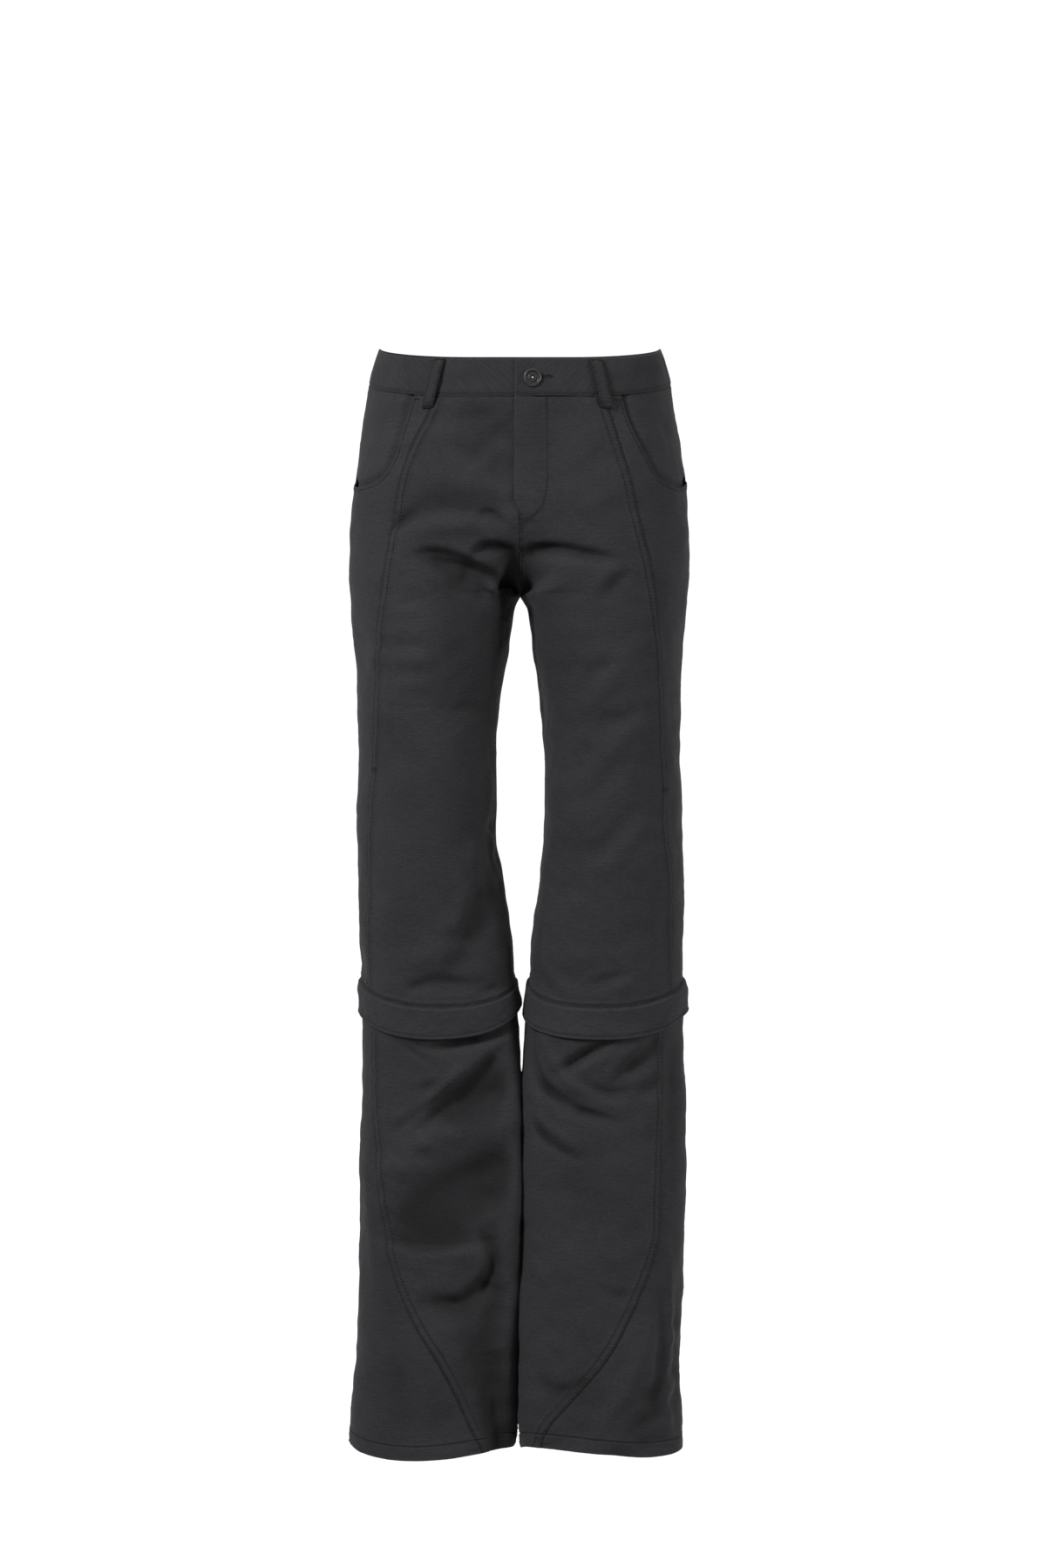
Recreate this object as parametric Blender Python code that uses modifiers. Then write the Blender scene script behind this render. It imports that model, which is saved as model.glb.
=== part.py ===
"""Convertible trousers, held open in the form in which they are worn.

Every piece of cloth is a wall that follows one form. The form is a family of level sections, one for each
leg: a turn goes from the inner front edge (0) by the front (1), the outer side (2) and the back (3) to the
inner back edge (4). Above the crotch the inner edges are the centre seams; below it both are the inseam.
Lengths are in millimetres until a mesh is made. "right" and "left" are the wearer's: right is at -X.
"""

import math
from collections import namedtuple

import bpy
import numpy as np

MM = 0.001
SIDES = {"right": -1, "left": 1}

# Cloth
WALL = 1.3
SEAM_GAP = 0.3
HALF_GAP = SEAM_GAP / 2
LAYER_GAP = 0.5
BAND_WALL = 1.8
TAPE_WALL = 1.0

# Form
ROUND = 0.5523
SIDE_Y = 2.0
CROTCH_Z = -237.0
CROTCH_Y = 8.0
FRONT_CURVE_TOP = -165.0
BACK_CURVE_TOP = -140.0

# Fly and waistband lap
LAP = 5.0
FLY_LIFT = 2.0
FLY_WIDTH = 26.0
FLY_END = -163.0
FLY_FADE = 12.0
WAISTBAND_OUT = 0.4
UNDERLAP = 38.0
LAP_FADE = 16.0
SHIELD_WIDTH = 30.0

# Button
BUTTON_X = 11.3
BUTTON_Z = -38.7
BUTTON_RADIUS = 8.6
BUTTON_THICK = 3.0
TACK_RADIUS = 1.6

# Belt loops
LOOP_WIDTH = 11.0
LOOP_WALL = 1.6
LOOP_STAND = 2.2
LOOP_LENGTH = 47.0

# Pocket facing
FACING_TUCK = 6.0
FACING_DIP = 1.7
FACING_STEP = 10.0

# Knee
BAND_HEAD_OUT = 0.3
BAND_OUT = 1.0
BAND_FLARE = 0.3
TAPE_UP = 7.0
TAPE_DOWN = 19.0
TAPE_GAP = 1.1
ZIP_GAP = 9.0

# Grid of each wall
UPPER_STRAIGHT_ROWS = 5
CURVE_ROWS = 6
THIGH_ROWS = 15
LOWER_ROWS = 17
FRONT_COLUMNS = 12
SIDE_COLUMNS = 6
BACK_COLUMNS = 14
LOWER_FRONT_COLUMNS = 10
LOWER_SIDE_COLUMNS = 8
LOWER_BACK_COLUMNS = 12
RING_COLUMNS = 36
FACING_ROWS = 11
FACING_COLUMNS = 7


def table(header, *rows):
    """A table with named columns, its rows in rising order of the first."""
    data = np.array(sorted(rows), float)
    return {name: data[:, i] for i, name in enumerate(header.split())}


# Half widths and depths of the form at each height. crest is the distance from the centre of the foremost
# and hindmost points, and full is how square the inner front quarter is.
SECTIONS = table(
    "z out_right out_left crest front back full",
    (40, 126, 124, 48, -82, 86, 0.55),
    (0, 134, 133, 50, -86, 92, 0.55),
    (-27, 142, 141.5, 52, -90, 98, 0.55),
    (-58, 148, 146, 54, -93, 104, 0.55),
    (-91, 153, 152, 57, -96, 111, 0.55),
    (-125, 158, 157, 61, -98, 117, 0.56),
    (-158, 161.5, 159.5, 66, -98, 120, 0.60),
    (-191, 162.5, 161, 72, -97, 118, 0.68),
    (-237, 161.5, 158.5, 79, -95, 109, 0.76),
    (-291, 157, 154, 84, -91, 96, 0.70),
    (-357, 154.5, 153, 88, -86, 85, 0.60),
    (-440, 154.5, 154, 88, -80, 76, 0.56),
    (-506, 154, 155, 86, -74, 69, 0.56),
    (-589, 151.6, 154.3, 80, -68, 62, 0.56),
    (-640, 150.2, 154.6, 78, -65, 61, 0.56),
    (-705, 151, 156.5, 77, -62, 62, 0.56),
    (-789, 152.5, 157, 77, -61, 64, 0.56),
    (-872, 153.5, 156, 77, -60, 63, 0.56),
    (-955, 157, 153.5, 79, -60, 61, 0.57),
    (-1038, 162, 154.5, 80, -61, 60, 0.58),
    (-1070, 164, 155, 80, -61, 60, 0.58),
)

# The inseam: distance of each leg's inner edge from the centre, and its depth. Near the hem the two legs
# pass beside each other, one a little in front of the other.
INSEAM = table(
    "z in_right in_left y_right y_left",
    (-237, 0.15, 0.15, 8, 8),
    (-245, 4.5, 5.0, 9, 9),
    (-257, 7.5, 8.5, 10, 10),
    (-291, 11.8, 12.6, 9, 10),
    (-324, 18.0, 17.6, 7, 8),
    (-357, 20.8, 21.6, 5, 6),
    (-407, 21.8, 22.8, 2, 4),
    (-457, 21.4, 22.6, 0, 3),
    (-490, 17.6, 19.8, -1, 3),
    (-523, 13.2, 16.2, -2, 4),
    (-556, 8.6, 11.2, -3, 5),
    (-600, 4.4, 10.0, -5, 7),
    (-650, 2.2, 7.0, -7, 9),
    (-689, -0.4, 4.4, -9, 11),
    (-730, -1.8, 2.2, -11, 13),
    (-860, -1.7, 2.0, -12, 14),
    (-996, 0.4, 0.4, -12, 14),
    (-1038, 3.6, -0.8, -11, 13),
    (-1070, 5.0, -1.2, -11, 13),
)

# Seams seen from the front: distance from the centre at each height.
PRINCESS = table(
    "z right left",
    (-30, 74, 70),
    (-64, 83, 81),
    (-105, 103, 94),
    (-137, 113.5, 103.5),
    (-170, 120, 111),
    (-210, 126, 121),
    (-250, 131, 128),
    (-300, 134.5, 132.5),
    (-400, 139, 136),
    (-465, 143.5, 138.5),
    (-500, 145, 142.5),
    (-580, 145, 145),
    (-640, 145, 145.5),
)
LOWER_PRINCESS = table(
    "z right left",
    (-590, 139, 135),
    (-641, 139.5, 135),
    (-703, 140, 135),
    (-795, 133, 132),
    (-841, 128.5, 130),
    (-880, 119, 118.5),
    (-922, 99.5, 99.5),
    (-957, 77.5, 79),
    (-991, 59.5, 50),
    (-1023, 44.5, 23),
    (-1045, 32, 17),
)

# Lines round the body or the leg: height at the side, drop at the front, rise at the back.
GIRDLES = {
    "waist_top": (0.0, 20.0, 3.0),
    "waist_seam": (-33.5, 22.0, 3.0),
    "knee_seam": (-599.0, 25.0, 7.0),
    "knee_hem": (-630.0, 23.5, 7.0),
    "hem": (-1043.5, 2.0, 0.0),
}

# How far the hem swings up at each turn: it hangs lower at the outer front and rises at the inseam.
HEM_WAVE = table(
    "turn right left",
    (0, 7, 9),
    (0.35, 6, 7),
    (0.7, 2.5, 7.5),
    (1.0, -2, 3),
    (1.3, -3.5, -1),
    (1.6, -1.5, -2.5),
    (2, 2.5, -1.5),
    (2.5, 0, 2),
    (3, -3, -3),
    (3.5, 1, 0),
    (4, 7, 9),
)

# The pocket's mouth, from the waist seam to the side seam: distance from the centre, and height.
SCOOP = {
    "right": ((98.0, -46.0), (108.0, -85.0), (117.5, -113.0), (131.0, -131.5), (146.0, -136.5), (2.0, -128.0)),
    "left": ((93.0, -46.0), (103.5, -85.0), (118.5, -113.0), (130.0, -131.5), (144.0, -137.0), (2.0, -126.0)),
}

# The largest folds. A fold is a bowed line on the front (face -1) or back (face 1) of one leg, from its
# first to its second end, with its height (a trough is below 0) and half width.
Fold = namedtuple("Fold", "face x1 z1 x2 z2 bow height width")
FOLDS = {
    "right": (
        (-1, 112, -172, 14, -166, 20, -2.4, 9),
        (-1, 97, -198, 24, -216, 12, -3.2, 11),
        (-1, 60, -186, 8, -196, 3, 1.6, 9),
        (-1, 124, -357, 92, -396, 4, -2.2, 14),
        (-1, 58, -340, 30, -334, -5, -1.6, 10),
        (-1, 18, -480, 66, -584, 10, -3.0, 13),
        (-1, 100, -600, 40, -592, 4, -2.4, 8),
        (-1, 22, -660, 92, -730, 10, -5.0, 13),
        (-1, 56, -690, 104, -718, 6, -3.0, 9),
        (-1, 108, -648, 84, -668, 3, -2.0, 7),
        (-1, 12, -745, 124, -832, 16, -3.6, 22),
        (-1, 32, -836, 74, -890, -16, -4.0, 13),
        (1, 112, -215, 20, -238, -10, -4.0, 12),
        (1, 118, -262, 34, -276, -8, -3.0, 11),
        (1, 30, -470, 120, -545, 8, -3.0, 14),
        (1, 40, -580, 128, -560, 4, -2.4, 10),
        (1, 24, -670, 120, -735, 10, -3.6, 14),
        (1, 110, -800, 36, -880, 12, -3.0, 18),
    ),
    "left": (
        (-1, 6, -194, 86, -204, 4, -2.6, 10),
        (-1, 74, -232, 90, -210, 2, 2.2, 9),
        (-1, 92, -222, 122, -218, 3, -2.0, 12),
        (-1, 46, -316, 78, -326, -8, -1.6, 12),
        (-1, 112, -340, 62, -380, 4, -2.2, 14),
        (-1, 70, -598, 90, -590, 4, -2.0, 10),
        (-1, 15, -638, 84, -722, -12, -4.6, 10),
        (-1, 74, -650, 45, -664, -3, -3.0, 8),
        (-1, 132, -648, 88, -684, 4, -3.2, 10),
        (-1, 44, -674, 112, -690, -12, 2.0, 9),
        (-1, 22, -734, 78, -766, 8, -2.4, 12),
        (-1, 136, -850, 132, -1020, 6, 2.4, 10),
        (1, 110, -215, 20, -240, -10, -4.0, 12),
        (1, 116, -264, 30, -272, -8, -3.0, 11),
        (1, 34, -478, 116, -550, 8, -3.0, 14),
        (1, 36, -572, 124, -582, 4, -2.4, 10),
        (1, 28, -676, 116, -726, 10, -3.6, 14),
        (1, 104, -810, 40, -870, 12, -3.0, 18),
    ),
}

COLLECTION = "convertible_trousers"
CLOTH = (0.0319, 0.0319, 0.0343, 1.0)
BAND_CLOTH = (0.036, 0.036, 0.039, 1.0)
TAPE_BLACK = (0.012, 0.012, 0.013, 1.0)
BUTTON_BLACK = (0.012, 0.012, 0.014, 1.0)
STEEL = (0.6, 0.6, 0.62, 1.0)


def read(source, name, at):
    """The named column at this place: a cubic Hermite curve through the rows, straight on past the ends."""
    knots, values = source[next(iter(source))], source[name]
    slopes = np.gradient(values, knots)
    i = np.clip(np.searchsorted(knots, at) - 1, 0, len(knots) - 2)
    step = knots[i + 1] - knots[i]
    t = np.clip((at - knots[i]) / step, 0, 1)
    start = (1 + 2 * t) * (1 - t) ** 2 * values[i] + t * (1 - t) ** 2 * step * slopes[i]
    end = t * t * (3 - 2 * t) * values[i + 1] + t * t * (t - 1) * step * slopes[i + 1]
    return start + end


def ease(t):
    """0 before 0, 1 after 1, and smooth between."""
    t = np.clip(t, 0, 1)
    return t * t * (3 - 2 * t)


def crotch_curve(z, top, surface):
    """Depth and lean of a centre seam: a quarter ellipse from the surface at top to the crotch point."""
    share = np.clip((top - z) / (top - CROTCH_Z), 0, 1)
    depth = surface + (CROTCH_Y - surface) * (1 - np.sqrt(1 - share**2))
    return depth, 0.5 * math.pi * share**3


def arc(points, t):
    """A cubic Bezier through four (x, y) control points, going straight on past its ends."""
    inside = np.clip(t, 0, 1)
    past = t - inside
    (ax, ay), (bx, by), (cx, cy), (dx, dy) = points
    weights = ((1 - inside) ** 3, 3 * inside * (1 - inside) ** 2, 3 * inside**2 * (1 - inside), inside**3)
    rates = (3 * (1 - inside) ** 2, 6 * inside * (1 - inside), 3 * inside**2)
    x = sum(w * v for w, v in zip(weights, (ax, bx, cx, dx)))
    y = sum(w * v for w, v in zip(weights, (ay, by, cy, dy)))
    x_rate = sum(w * v for w, v in zip(rates, (bx - ax, cx - bx, dx - cx)))
    y_rate = sum(w * v for w, v in zip(rates, (by - ay, cy - by, dy - cy)))
    return x + past * x_rate, y + past * y_rate


def section(side, turn, z):
    """(distance from the centre, depth) of the form's level section at this turn and height."""
    turn, z = np.broadcast_arrays(np.asarray(turn, float), np.asarray(z, float))
    out, crest, front, back, full = (
        read(SECTIONS, name, z) for name in ("out_" + side, "crest", "front", "back", "full")
    )
    above = z >= CROTCH_Z
    inner = np.where(above, HALF_GAP, read(INSEAM, "in_" + side, z))
    inseam_y = read(INSEAM, "y_" + side, z)
    front_y, front_lean = crotch_curve(z, FRONT_CURVE_TOP, front)
    back_y, back_lean = crotch_curve(z, BACK_CURVE_TOP, back)
    front_y = np.where(above, front_y, inseam_y) - HALF_GAP
    back_y = np.where(above, back_y, inseam_y) + HALF_GAP
    span = crest - inner
    front_handle = ROUND * (np.cos(front_lean) * span + np.sin(front_lean) * (front_y - front))
    back_handle = ROUND * (np.cos(back_lean) * span + np.sin(back_lean) * (back - back_y))
    outer = crest + ROUND * (out - crest)
    quarters = (
        (
            (inner, front_y),
            (inner + front_handle * np.cos(front_lean), front_y - front_handle * np.sin(front_lean)),
            (crest - full * span, front),
            (crest, front),
        ),
        ((crest, front), (outer, front), (out, SIDE_Y - ROUND * (SIDE_Y - front)), (out, SIDE_Y)),
        ((out, SIDE_Y), (out, SIDE_Y + ROUND * (back - SIDE_Y)), (outer, back), (crest, back)),
        (
            (crest, back),
            (crest - full * span, back),
            (inner + back_handle * np.cos(back_lean), back_y + back_handle * np.sin(back_lean)),
            (inner, back_y),
        ),
    )
    number = np.clip(np.floor(turn), 0, 3)
    points = [arc(quarter, turn - i) for i, quarter in enumerate(quarters)]
    x = np.select([number == i for i in range(4)], [p[0] for p in points])
    y = np.select([number == i for i in range(4)], [p[1] for p in points])
    return x, y


def form(side, turn, z):
    x, y = section(side, turn, z)
    return np.stack([SIDES[side] * x, y, np.broadcast_to(z, x.shape)], axis=-1)


def normals(side, turn, z, turn_step=0.004, z_step=0.6):
    """Unit normals of the form, pointing out of the cloth."""
    along = form(side, turn + turn_step, z) - form(side, turn - turn_step, z)
    up = form(side, turn, z + z_step) - form(side, turn, z - z_step)
    out = np.cross(along, up) * SIDES[side]
    return out / np.linalg.norm(out, axis=-1, keepdims=True)


def speed(side, turn, z, step=0.004):
    """Millimetres along the section for one turn."""
    return np.linalg.norm(form(side, turn + step, z) - form(side, turn - step, z), axis=-1) / (2 * step)


def calm(y, z):
    """0 at the knee band and just above and below it, where the layers lie flat, and 1 elsewhere."""
    level, drop, rise = GIRDLES["knee_seam"]
    above = z - level + drop * np.clip(-y / 68, 0, 1) - rise * np.clip(y / 62, 0, 1)
    return np.maximum(ease((above - TAPE_UP) / 12), ease((-above - TAPE_DOWN) / 12))


def fold_height(side, x, y, z):
    """Sum of the folds: each falls off as a bell across its bowed line and past its ends."""
    height = np.zeros_like(x)
    for fold in (Fold(*row) for row in FOLDS[side]):
        chord_x, chord_z = fold.x2 - fold.x1, fold.z2 - fold.z1
        length = math.hypot(chord_x, chord_z)
        along = ((x - fold.x1) * chord_x + (z - fold.z1) * chord_z) / length**2
        across = ((z - fold.z1) * chord_x - (x - fold.x1) * chord_z) / length * np.sign(chord_x)
        held = np.clip(along, 0, 1)
        off_line = across - fold.bow * 4 * held * (1 - held)
        past = (along - held) * length
        bell = np.exp(-(off_line**2 + past**2) / fold.width**2) * (0.35 + 0.65 * np.sin(math.pi * held))
        height += fold.height * bell * ease(0.5 + fold.face * y / 40)
    return height * calm(y, z)


def cloth(side, turn, z, out=0.0, folded=True):
    """Points of the form moved out, with its folds."""
    points = form(side, turn, z)
    shift = np.zeros(points.shape[:-1]) + out
    if folded:
        shift += fold_height(side, np.abs(points[..., 0]), points[..., 1], points[..., 2])
    return points + normals(side, turn, z) * shift[..., None]


def turn_at(side, distance, z):
    """The turn on the front at which the form is this far from the centre."""
    turns = np.linspace(-0.8, 2, 240)
    distance, z = np.broadcast_arrays(np.asarray(distance, float), np.asarray(z, float))
    found = [np.interp(d, section(side, turns, level)[0], turns) for d, level in zip(distance.flat, z.flat)]
    return np.array(found).reshape(z.shape)


def girdle(side, name, turn):
    """Height of a line round the body or leg at this turn."""
    level, drop, rise = GIRDLES[name]
    y = section(side, turn, level)[1]
    front, back = (read(SECTIONS, column, level) for column in ("front", "back"))
    z = level - drop * np.clip(y / front, 0, 1) + rise * np.clip(y / back, 0, 1)
    return z + read(HEM_WAVE, side, np.asarray(turn, float)) if name == "hem" else z


def princess(side, z, source):
    return turn_at(side, read(source, side, z), z)


def on_princess(side, name, source):
    """Height at which a princess seam meets a girdle."""
    z = GIRDLES[name][0]
    for _ in range(8):
        z = float(girdle(side, name, princess(side, z, source)))
    return z


def shifted(side, turn, z, millimetres):
    """The turn that lies this far round the section."""
    return turn + millimetres / speed(side, turn, z)


def patch(first, last, top, bottom):
    """(turn, height) of a grid between four edges, as a Coons patch. Edges are arrays of (turn, height)."""
    v = np.linspace(0, 1, len(first))[:, None, None]
    w = np.linspace(0, 1, len(top))[None, :, None]
    ruled = (1 - w) * first[:, None] + w * last[:, None] + (1 - v) * top[None] + v * bottom[None]
    corners = (1 - v) * ((1 - w) * first[0] + w * last[0]) + v * ((1 - w) * first[-1] + w * last[-1])
    grid = ruled - corners
    return grid[..., 0], grid[..., 1]


def crosswise(side, name, start, end, columns, offset):
    """An edge along a girdle from one turn to another, moved up by offset."""
    turn = np.linspace(start, end, columns + 1)
    z = girdle(side, name, turn) + offset
    return np.stack([turn, z], axis=-1)


def piece_rows(top, bottom, curve_top):
    """Heights down an inner edge: even to the seam's curve, then even round the curve, then down the leg."""
    straight = np.linspace(top, curve_top, UPPER_STRAIGHT_ROWS + 1)
    round_curve = curve_top + (CROTCH_Z - curve_top) * np.sin(
        np.linspace(0, math.pi / 2, CURVE_ROWS + 1)
    )
    down = CROTCH_Z + (bottom - CROTCH_Z) * np.linspace(0, 1, THIGH_ROWS + 1) ** 1.25
    return np.concatenate([straight, round_curve[1:], down[1:]])


def side_rows(top, bottom):
    """Heights down a seam away from the crotch, in as many rows."""
    above = UPPER_STRAIGHT_ROWS + CURVE_ROWS
    return np.concatenate(
        [
            np.linspace(top, CROTCH_Z, above + 1),
            np.linspace(CROTCH_Z, bottom, THIGH_ROWS + 1)[1:],
        ]
    )


def add_object(name, points, faces, material):
    mesh = bpy.data.meshes.new(name)
    mesh.from_pydata((points * MM).tolist(), [], faces.tolist() if hasattr(faces, "tolist") else faces)
    mesh.validate()
    mesh.materials.append(material)
    mesh.shade_smooth()
    mesh.set_sharp_from_angle(angle=math.radians(50))
    thing = bpy.data.objects.new(name, mesh)
    bpy.data.collections[COLLECTION].objects.link(thing)
    return thing


def wall(name, outer, inner, material, mirrored, ring=False):
    """A closed wall between two grids of points. A ring closes on itself across its columns."""
    rows, columns = outer.shape[:2]
    number = np.arange(rows * columns).reshape(rows, columns)
    if ring:
        number = np.concatenate([number, number[:, :1]], axis=1)
    count = rows * columns

    def quads(a, b, c, d):
        return np.stack([x.ravel() for x in (a, b, c, d)], axis=-1)

    def strip(edge):
        return quads(edge[1:], edge[:-1], edge[:-1] + count, edge[1:] + count)

    grid = quads(number[:-1, :-1], number[1:, :-1], number[1:, 1:], number[:-1, 1:])
    faces = [grid, grid[:, ::-1] + count, strip(number[0][::-1]), strip(number[-1])]
    if not ring:
        faces += [strip(number[:, 0]), strip(number[:, -1][::-1])]
    faces = np.concatenate(faces)
    if mirrored:
        faces = faces[:, ::-1]
    points = np.concatenate([outer.reshape(-1, 3), inner.reshape(-1, 3)])
    return add_object(name, points, faces, material)


def cloth_wall(name, side, turn, z, material, out=0.0, thick=WALL, ring=False):
    """A wall on the form whose outer face lies `out` from it, and `thick` through."""
    outer = cloth(side, turn, z, out)
    inner = outer - normals(side, turn, z) * thick
    return wall(name, outer, inner, material, side == "right", ring)


def fly_lift(x, z):
    """How far the lap of the fly stands out, over the shield and the other front."""
    return FLY_LIFT * ease((FLY_WIDTH - x) / 16) * ease((z - FLY_END + FLY_FADE) / FLY_FADE)


def make_front_centre(side, material):
    right_seam = on_princess(side, "waist_seam", PRINCESS), on_princess(side, "knee_seam", PRINCESS)
    z = side_rows(right_seam[0] - HALF_GAP, right_seam[1])
    seam_turn = shifted(side, princess(side, z, PRINCESS), z, -HALF_GAP)
    last = np.stack([seam_turn, z], axis=-1)
    top_z = float(girdle(side, "waist_seam", 0.0)) - HALF_GAP
    z = piece_rows(top_z, float(girdle(side, "knee_seam", 0.0)), FRONT_CURVE_TOP)
    lap = LAP * ease((z - FLY_END) / FLY_FADE) if side == "left" else np.zeros_like(z)
    first = np.stack([turn_at(side, HALF_GAP - lap, z), z], axis=-1)
    first[lap == 0, 0] = 0
    top = crosswise(side, "waist_seam", first[0, 0], last[0, 0], FRONT_COLUMNS, -HALF_GAP)
    bottom = crosswise(side, "knee_seam", first[-1, 0], last[-1, 0], FRONT_COLUMNS, 0.0)
    turn, z = patch(first, last, top, bottom)
    lift = 0.0
    if side == "left":
        lift = fly_lift(section(side, turn, z)[0], z)
    cloth_wall("front_centre_" + side, side, turn, z, material, out=lift)


def scoop_edge(side, rows):
    """(turn, height) along the pocket's mouth, evenly spaced by a smooth curve through its points."""
    points = np.array(SCOOP[side])
    distance, z = points[:-1, 0], points[:-1, 1]
    turn = np.append(turn_at(side, distance, z), 2.0)
    z = np.append(z, points[-1, 1])
    z[0] = GIRDLES["waist_seam"][0]
    for _ in range(8):
        z[0] = float(girdle(side, "waist_seam", turn[0])) - HALF_GAP
        turn[0] = float(turn_at(side, distance[0], z[0]))
    steps = np.hypot(np.diff(turn) * 95, np.diff(z))
    length = np.append(0, np.cumsum(steps))
    curve = {"run": length, "turn": turn, "z": z}
    even = np.linspace(0, length[-1], rows + 1)
    return np.stack([read(curve, "turn", even), read(curve, "z", even)], axis=-1)


def make_front_side(side, material):
    ends = on_princess(side, "waist_seam", PRINCESS), on_princess(side, "knee_seam", PRINCESS)
    z = side_rows(ends[0] - HALF_GAP, ends[1])
    first = np.stack([shifted(side, princess(side, z, PRINCESS), z, HALF_GAP), z], axis=-1)
    above = UPPER_STRAIGHT_ROWS + CURVE_ROWS
    mouth_rows = above - 2
    mouth = scoop_edge(side, mouth_rows)
    knee = float(girdle(side, "knee_seam", 2.0))
    down = np.linspace(mouth[-1, 1], knee, len(z) - mouth_rows)[1:]
    last = np.concatenate([mouth, np.stack([np.full_like(down, 2.0), down], axis=-1)])
    last[:, 0] = np.where(last[:, 0] >= 1.999, shifted(side, 2.0, last[:, 1], -HALF_GAP), last[:, 0])
    top = np.stack([np.linspace(first[0, i], last[0, i], SIDE_COLUMNS + 1) for i in (0, 1)], axis=-1)
    bottom = crosswise(side, "knee_seam", first[-1, 0], last[-1, 0], SIDE_COLUMNS, 0.0)
    turn, z = patch(first, last, top, bottom)
    cloth_wall("front_side_" + side, side, turn, z, material)


def make_pocket_facing(side, material):
    """The facing fills the scoop. It lies level with its neighbours and dips to pass under the mouth."""
    mouth = scoop_edge(side, FACING_ROWS)
    along = np.linspace(0, 1, FACING_ROWS + 1)
    tuck = mouth.copy()
    tuck[:, 0] = shifted(side, mouth[:, 0], mouth[:, 1], -FACING_TUCK * 0.55 * (1 - along))
    tuck[1:, 1] -= FACING_TUCK * along[1:] ** 0.7
    tuck[-1, 0] -= 0.4 * (tuck[-1, 0] - tuck[-2, 0])
    side_turn = shifted(side, 2.0, mouth[:, 1], -HALF_GAP)
    top_z = float(girdle(side, "waist_seam", 2.0)) - HALF_GAP
    last = np.stack([side_turn, np.linspace(top_z, tuck[-1, 1], FACING_ROWS + 1)], axis=-1)
    top = crosswise(side, "waist_seam", tuck[0, 0], last[0, 0], FACING_COLUMNS, -HALF_GAP)
    top[0] = tuck[0]
    bottom = np.linspace(tuck[-1], last[-1], FACING_COLUMNS + 1)
    turn, z = patch(tuck, last, top, bottom)
    reach = np.hypot((turn[..., None] - mouth[:, 0]) * 95, z[..., None] - mouth[:, 1]).min(-1)
    inside = z > np.interp(turn, mouth[:, 0], mouth[:, 1])
    dip = 1 - ease((np.where(inside, reach, 0) - 2) / FACING_STEP)
    sunk = -(WALL + FACING_DIP) * dip
    cloth_wall("pocket_facing_" + side, side, turn, z, material, out=sunk, thick=TAPE_WALL)


def make_back(side, material):
    top_z = float(girdle(side, "waist_seam", 2.0)) - HALF_GAP
    z = side_rows(top_z, float(girdle(side, "knee_seam", 2.0)))
    first = np.stack([shifted(side, 2.0, z, HALF_GAP), z], axis=-1)
    top_z = float(girdle(side, "waist_seam", 4.0)) - HALF_GAP
    z = piece_rows(top_z, float(girdle(side, "knee_seam", 4.0)), BACK_CURVE_TOP)
    last = np.stack([np.full_like(z, 4.0), z], axis=-1)
    top = crosswise(side, "waist_seam", first[0, 0], 4.0, BACK_COLUMNS, -HALF_GAP)
    bottom = crosswise(side, "knee_seam", first[-1, 0], 4.0, BACK_COLUMNS, 0.0)
    turn, z = patch(first, last, top, bottom)
    cloth_wall("back_" + side, side, turn, z, material)


def band_grid(side, start, end, columns, top="waist_top", bottom="waist_seam", rows=3):
    """(turn, height) of a band between two girdles."""
    turn = np.broadcast_to(np.linspace(start, end, columns + 1), (rows + 1, columns + 1))
    low, high = girdle(side, bottom, turn[0]) + HALF_GAP, girdle(side, top, turn[0])
    share = np.linspace(0, 1, rows + 1)[:, None]
    return turn, high + (low - high) * share


def make_waistband(material):
    turn, z = band_grid("right", float(turn_at("right", -UNDERLAP, -30.0)), 1.997, 24)
    cloth_wall("waistband_front_right", "right", turn, z, material, WAISTBAND_OUT, BAND_WALL)
    turn, z = band_grid("left", float(turn_at("left", -LAP + HALF_GAP, -30.0)), 1.997, 22)
    x = section("left", turn, z)[0]
    lift = (BAND_WALL + SEAM_GAP) * ease((UNDERLAP + LAP_FADE - x) / LAP_FADE)
    cloth_wall("waistband_front_left", "left", turn, z, material, WAISTBAND_OUT + lift, BAND_WALL)
    halves = [band_grid(side, 2.003, 4.0, 16) for side in SIDES]
    outer, inner = [], []
    for side, (turn, z) in zip(SIDES, halves):
        points = cloth(side, turn, z, WAISTBAND_OUT)
        outer.append(points)
        inner.append(points - normals(side, turn, z) * BAND_WALL)
    join = [np.concatenate([half[0][:, :-1], half[1][:, ::-1]], axis=1) for half in (outer, inner)]
    wall("waistband_back", join[0], join[1], material, True)


def make_fly_shield(material):
    """A plain strip behind the two fronts."""
    z = np.linspace(float(girdle("right", "waist_seam", 0.0)) - 1, FLY_END + FLY_FADE, 7)
    x = np.linspace(-SHIELD_WIDTH / 2, SHIELD_WIDTH / 2, 5)
    distance, z = np.meshgrid(-x, z)
    turn = turn_at("right", distance, z)
    outer = cloth("right", turn, z, -WALL - LAYER_GAP, folded=False)
    inner = outer - normals("right", turn, z) * TAPE_WALL
    wall("fly_shield", outer, inner, material, False)


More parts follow.
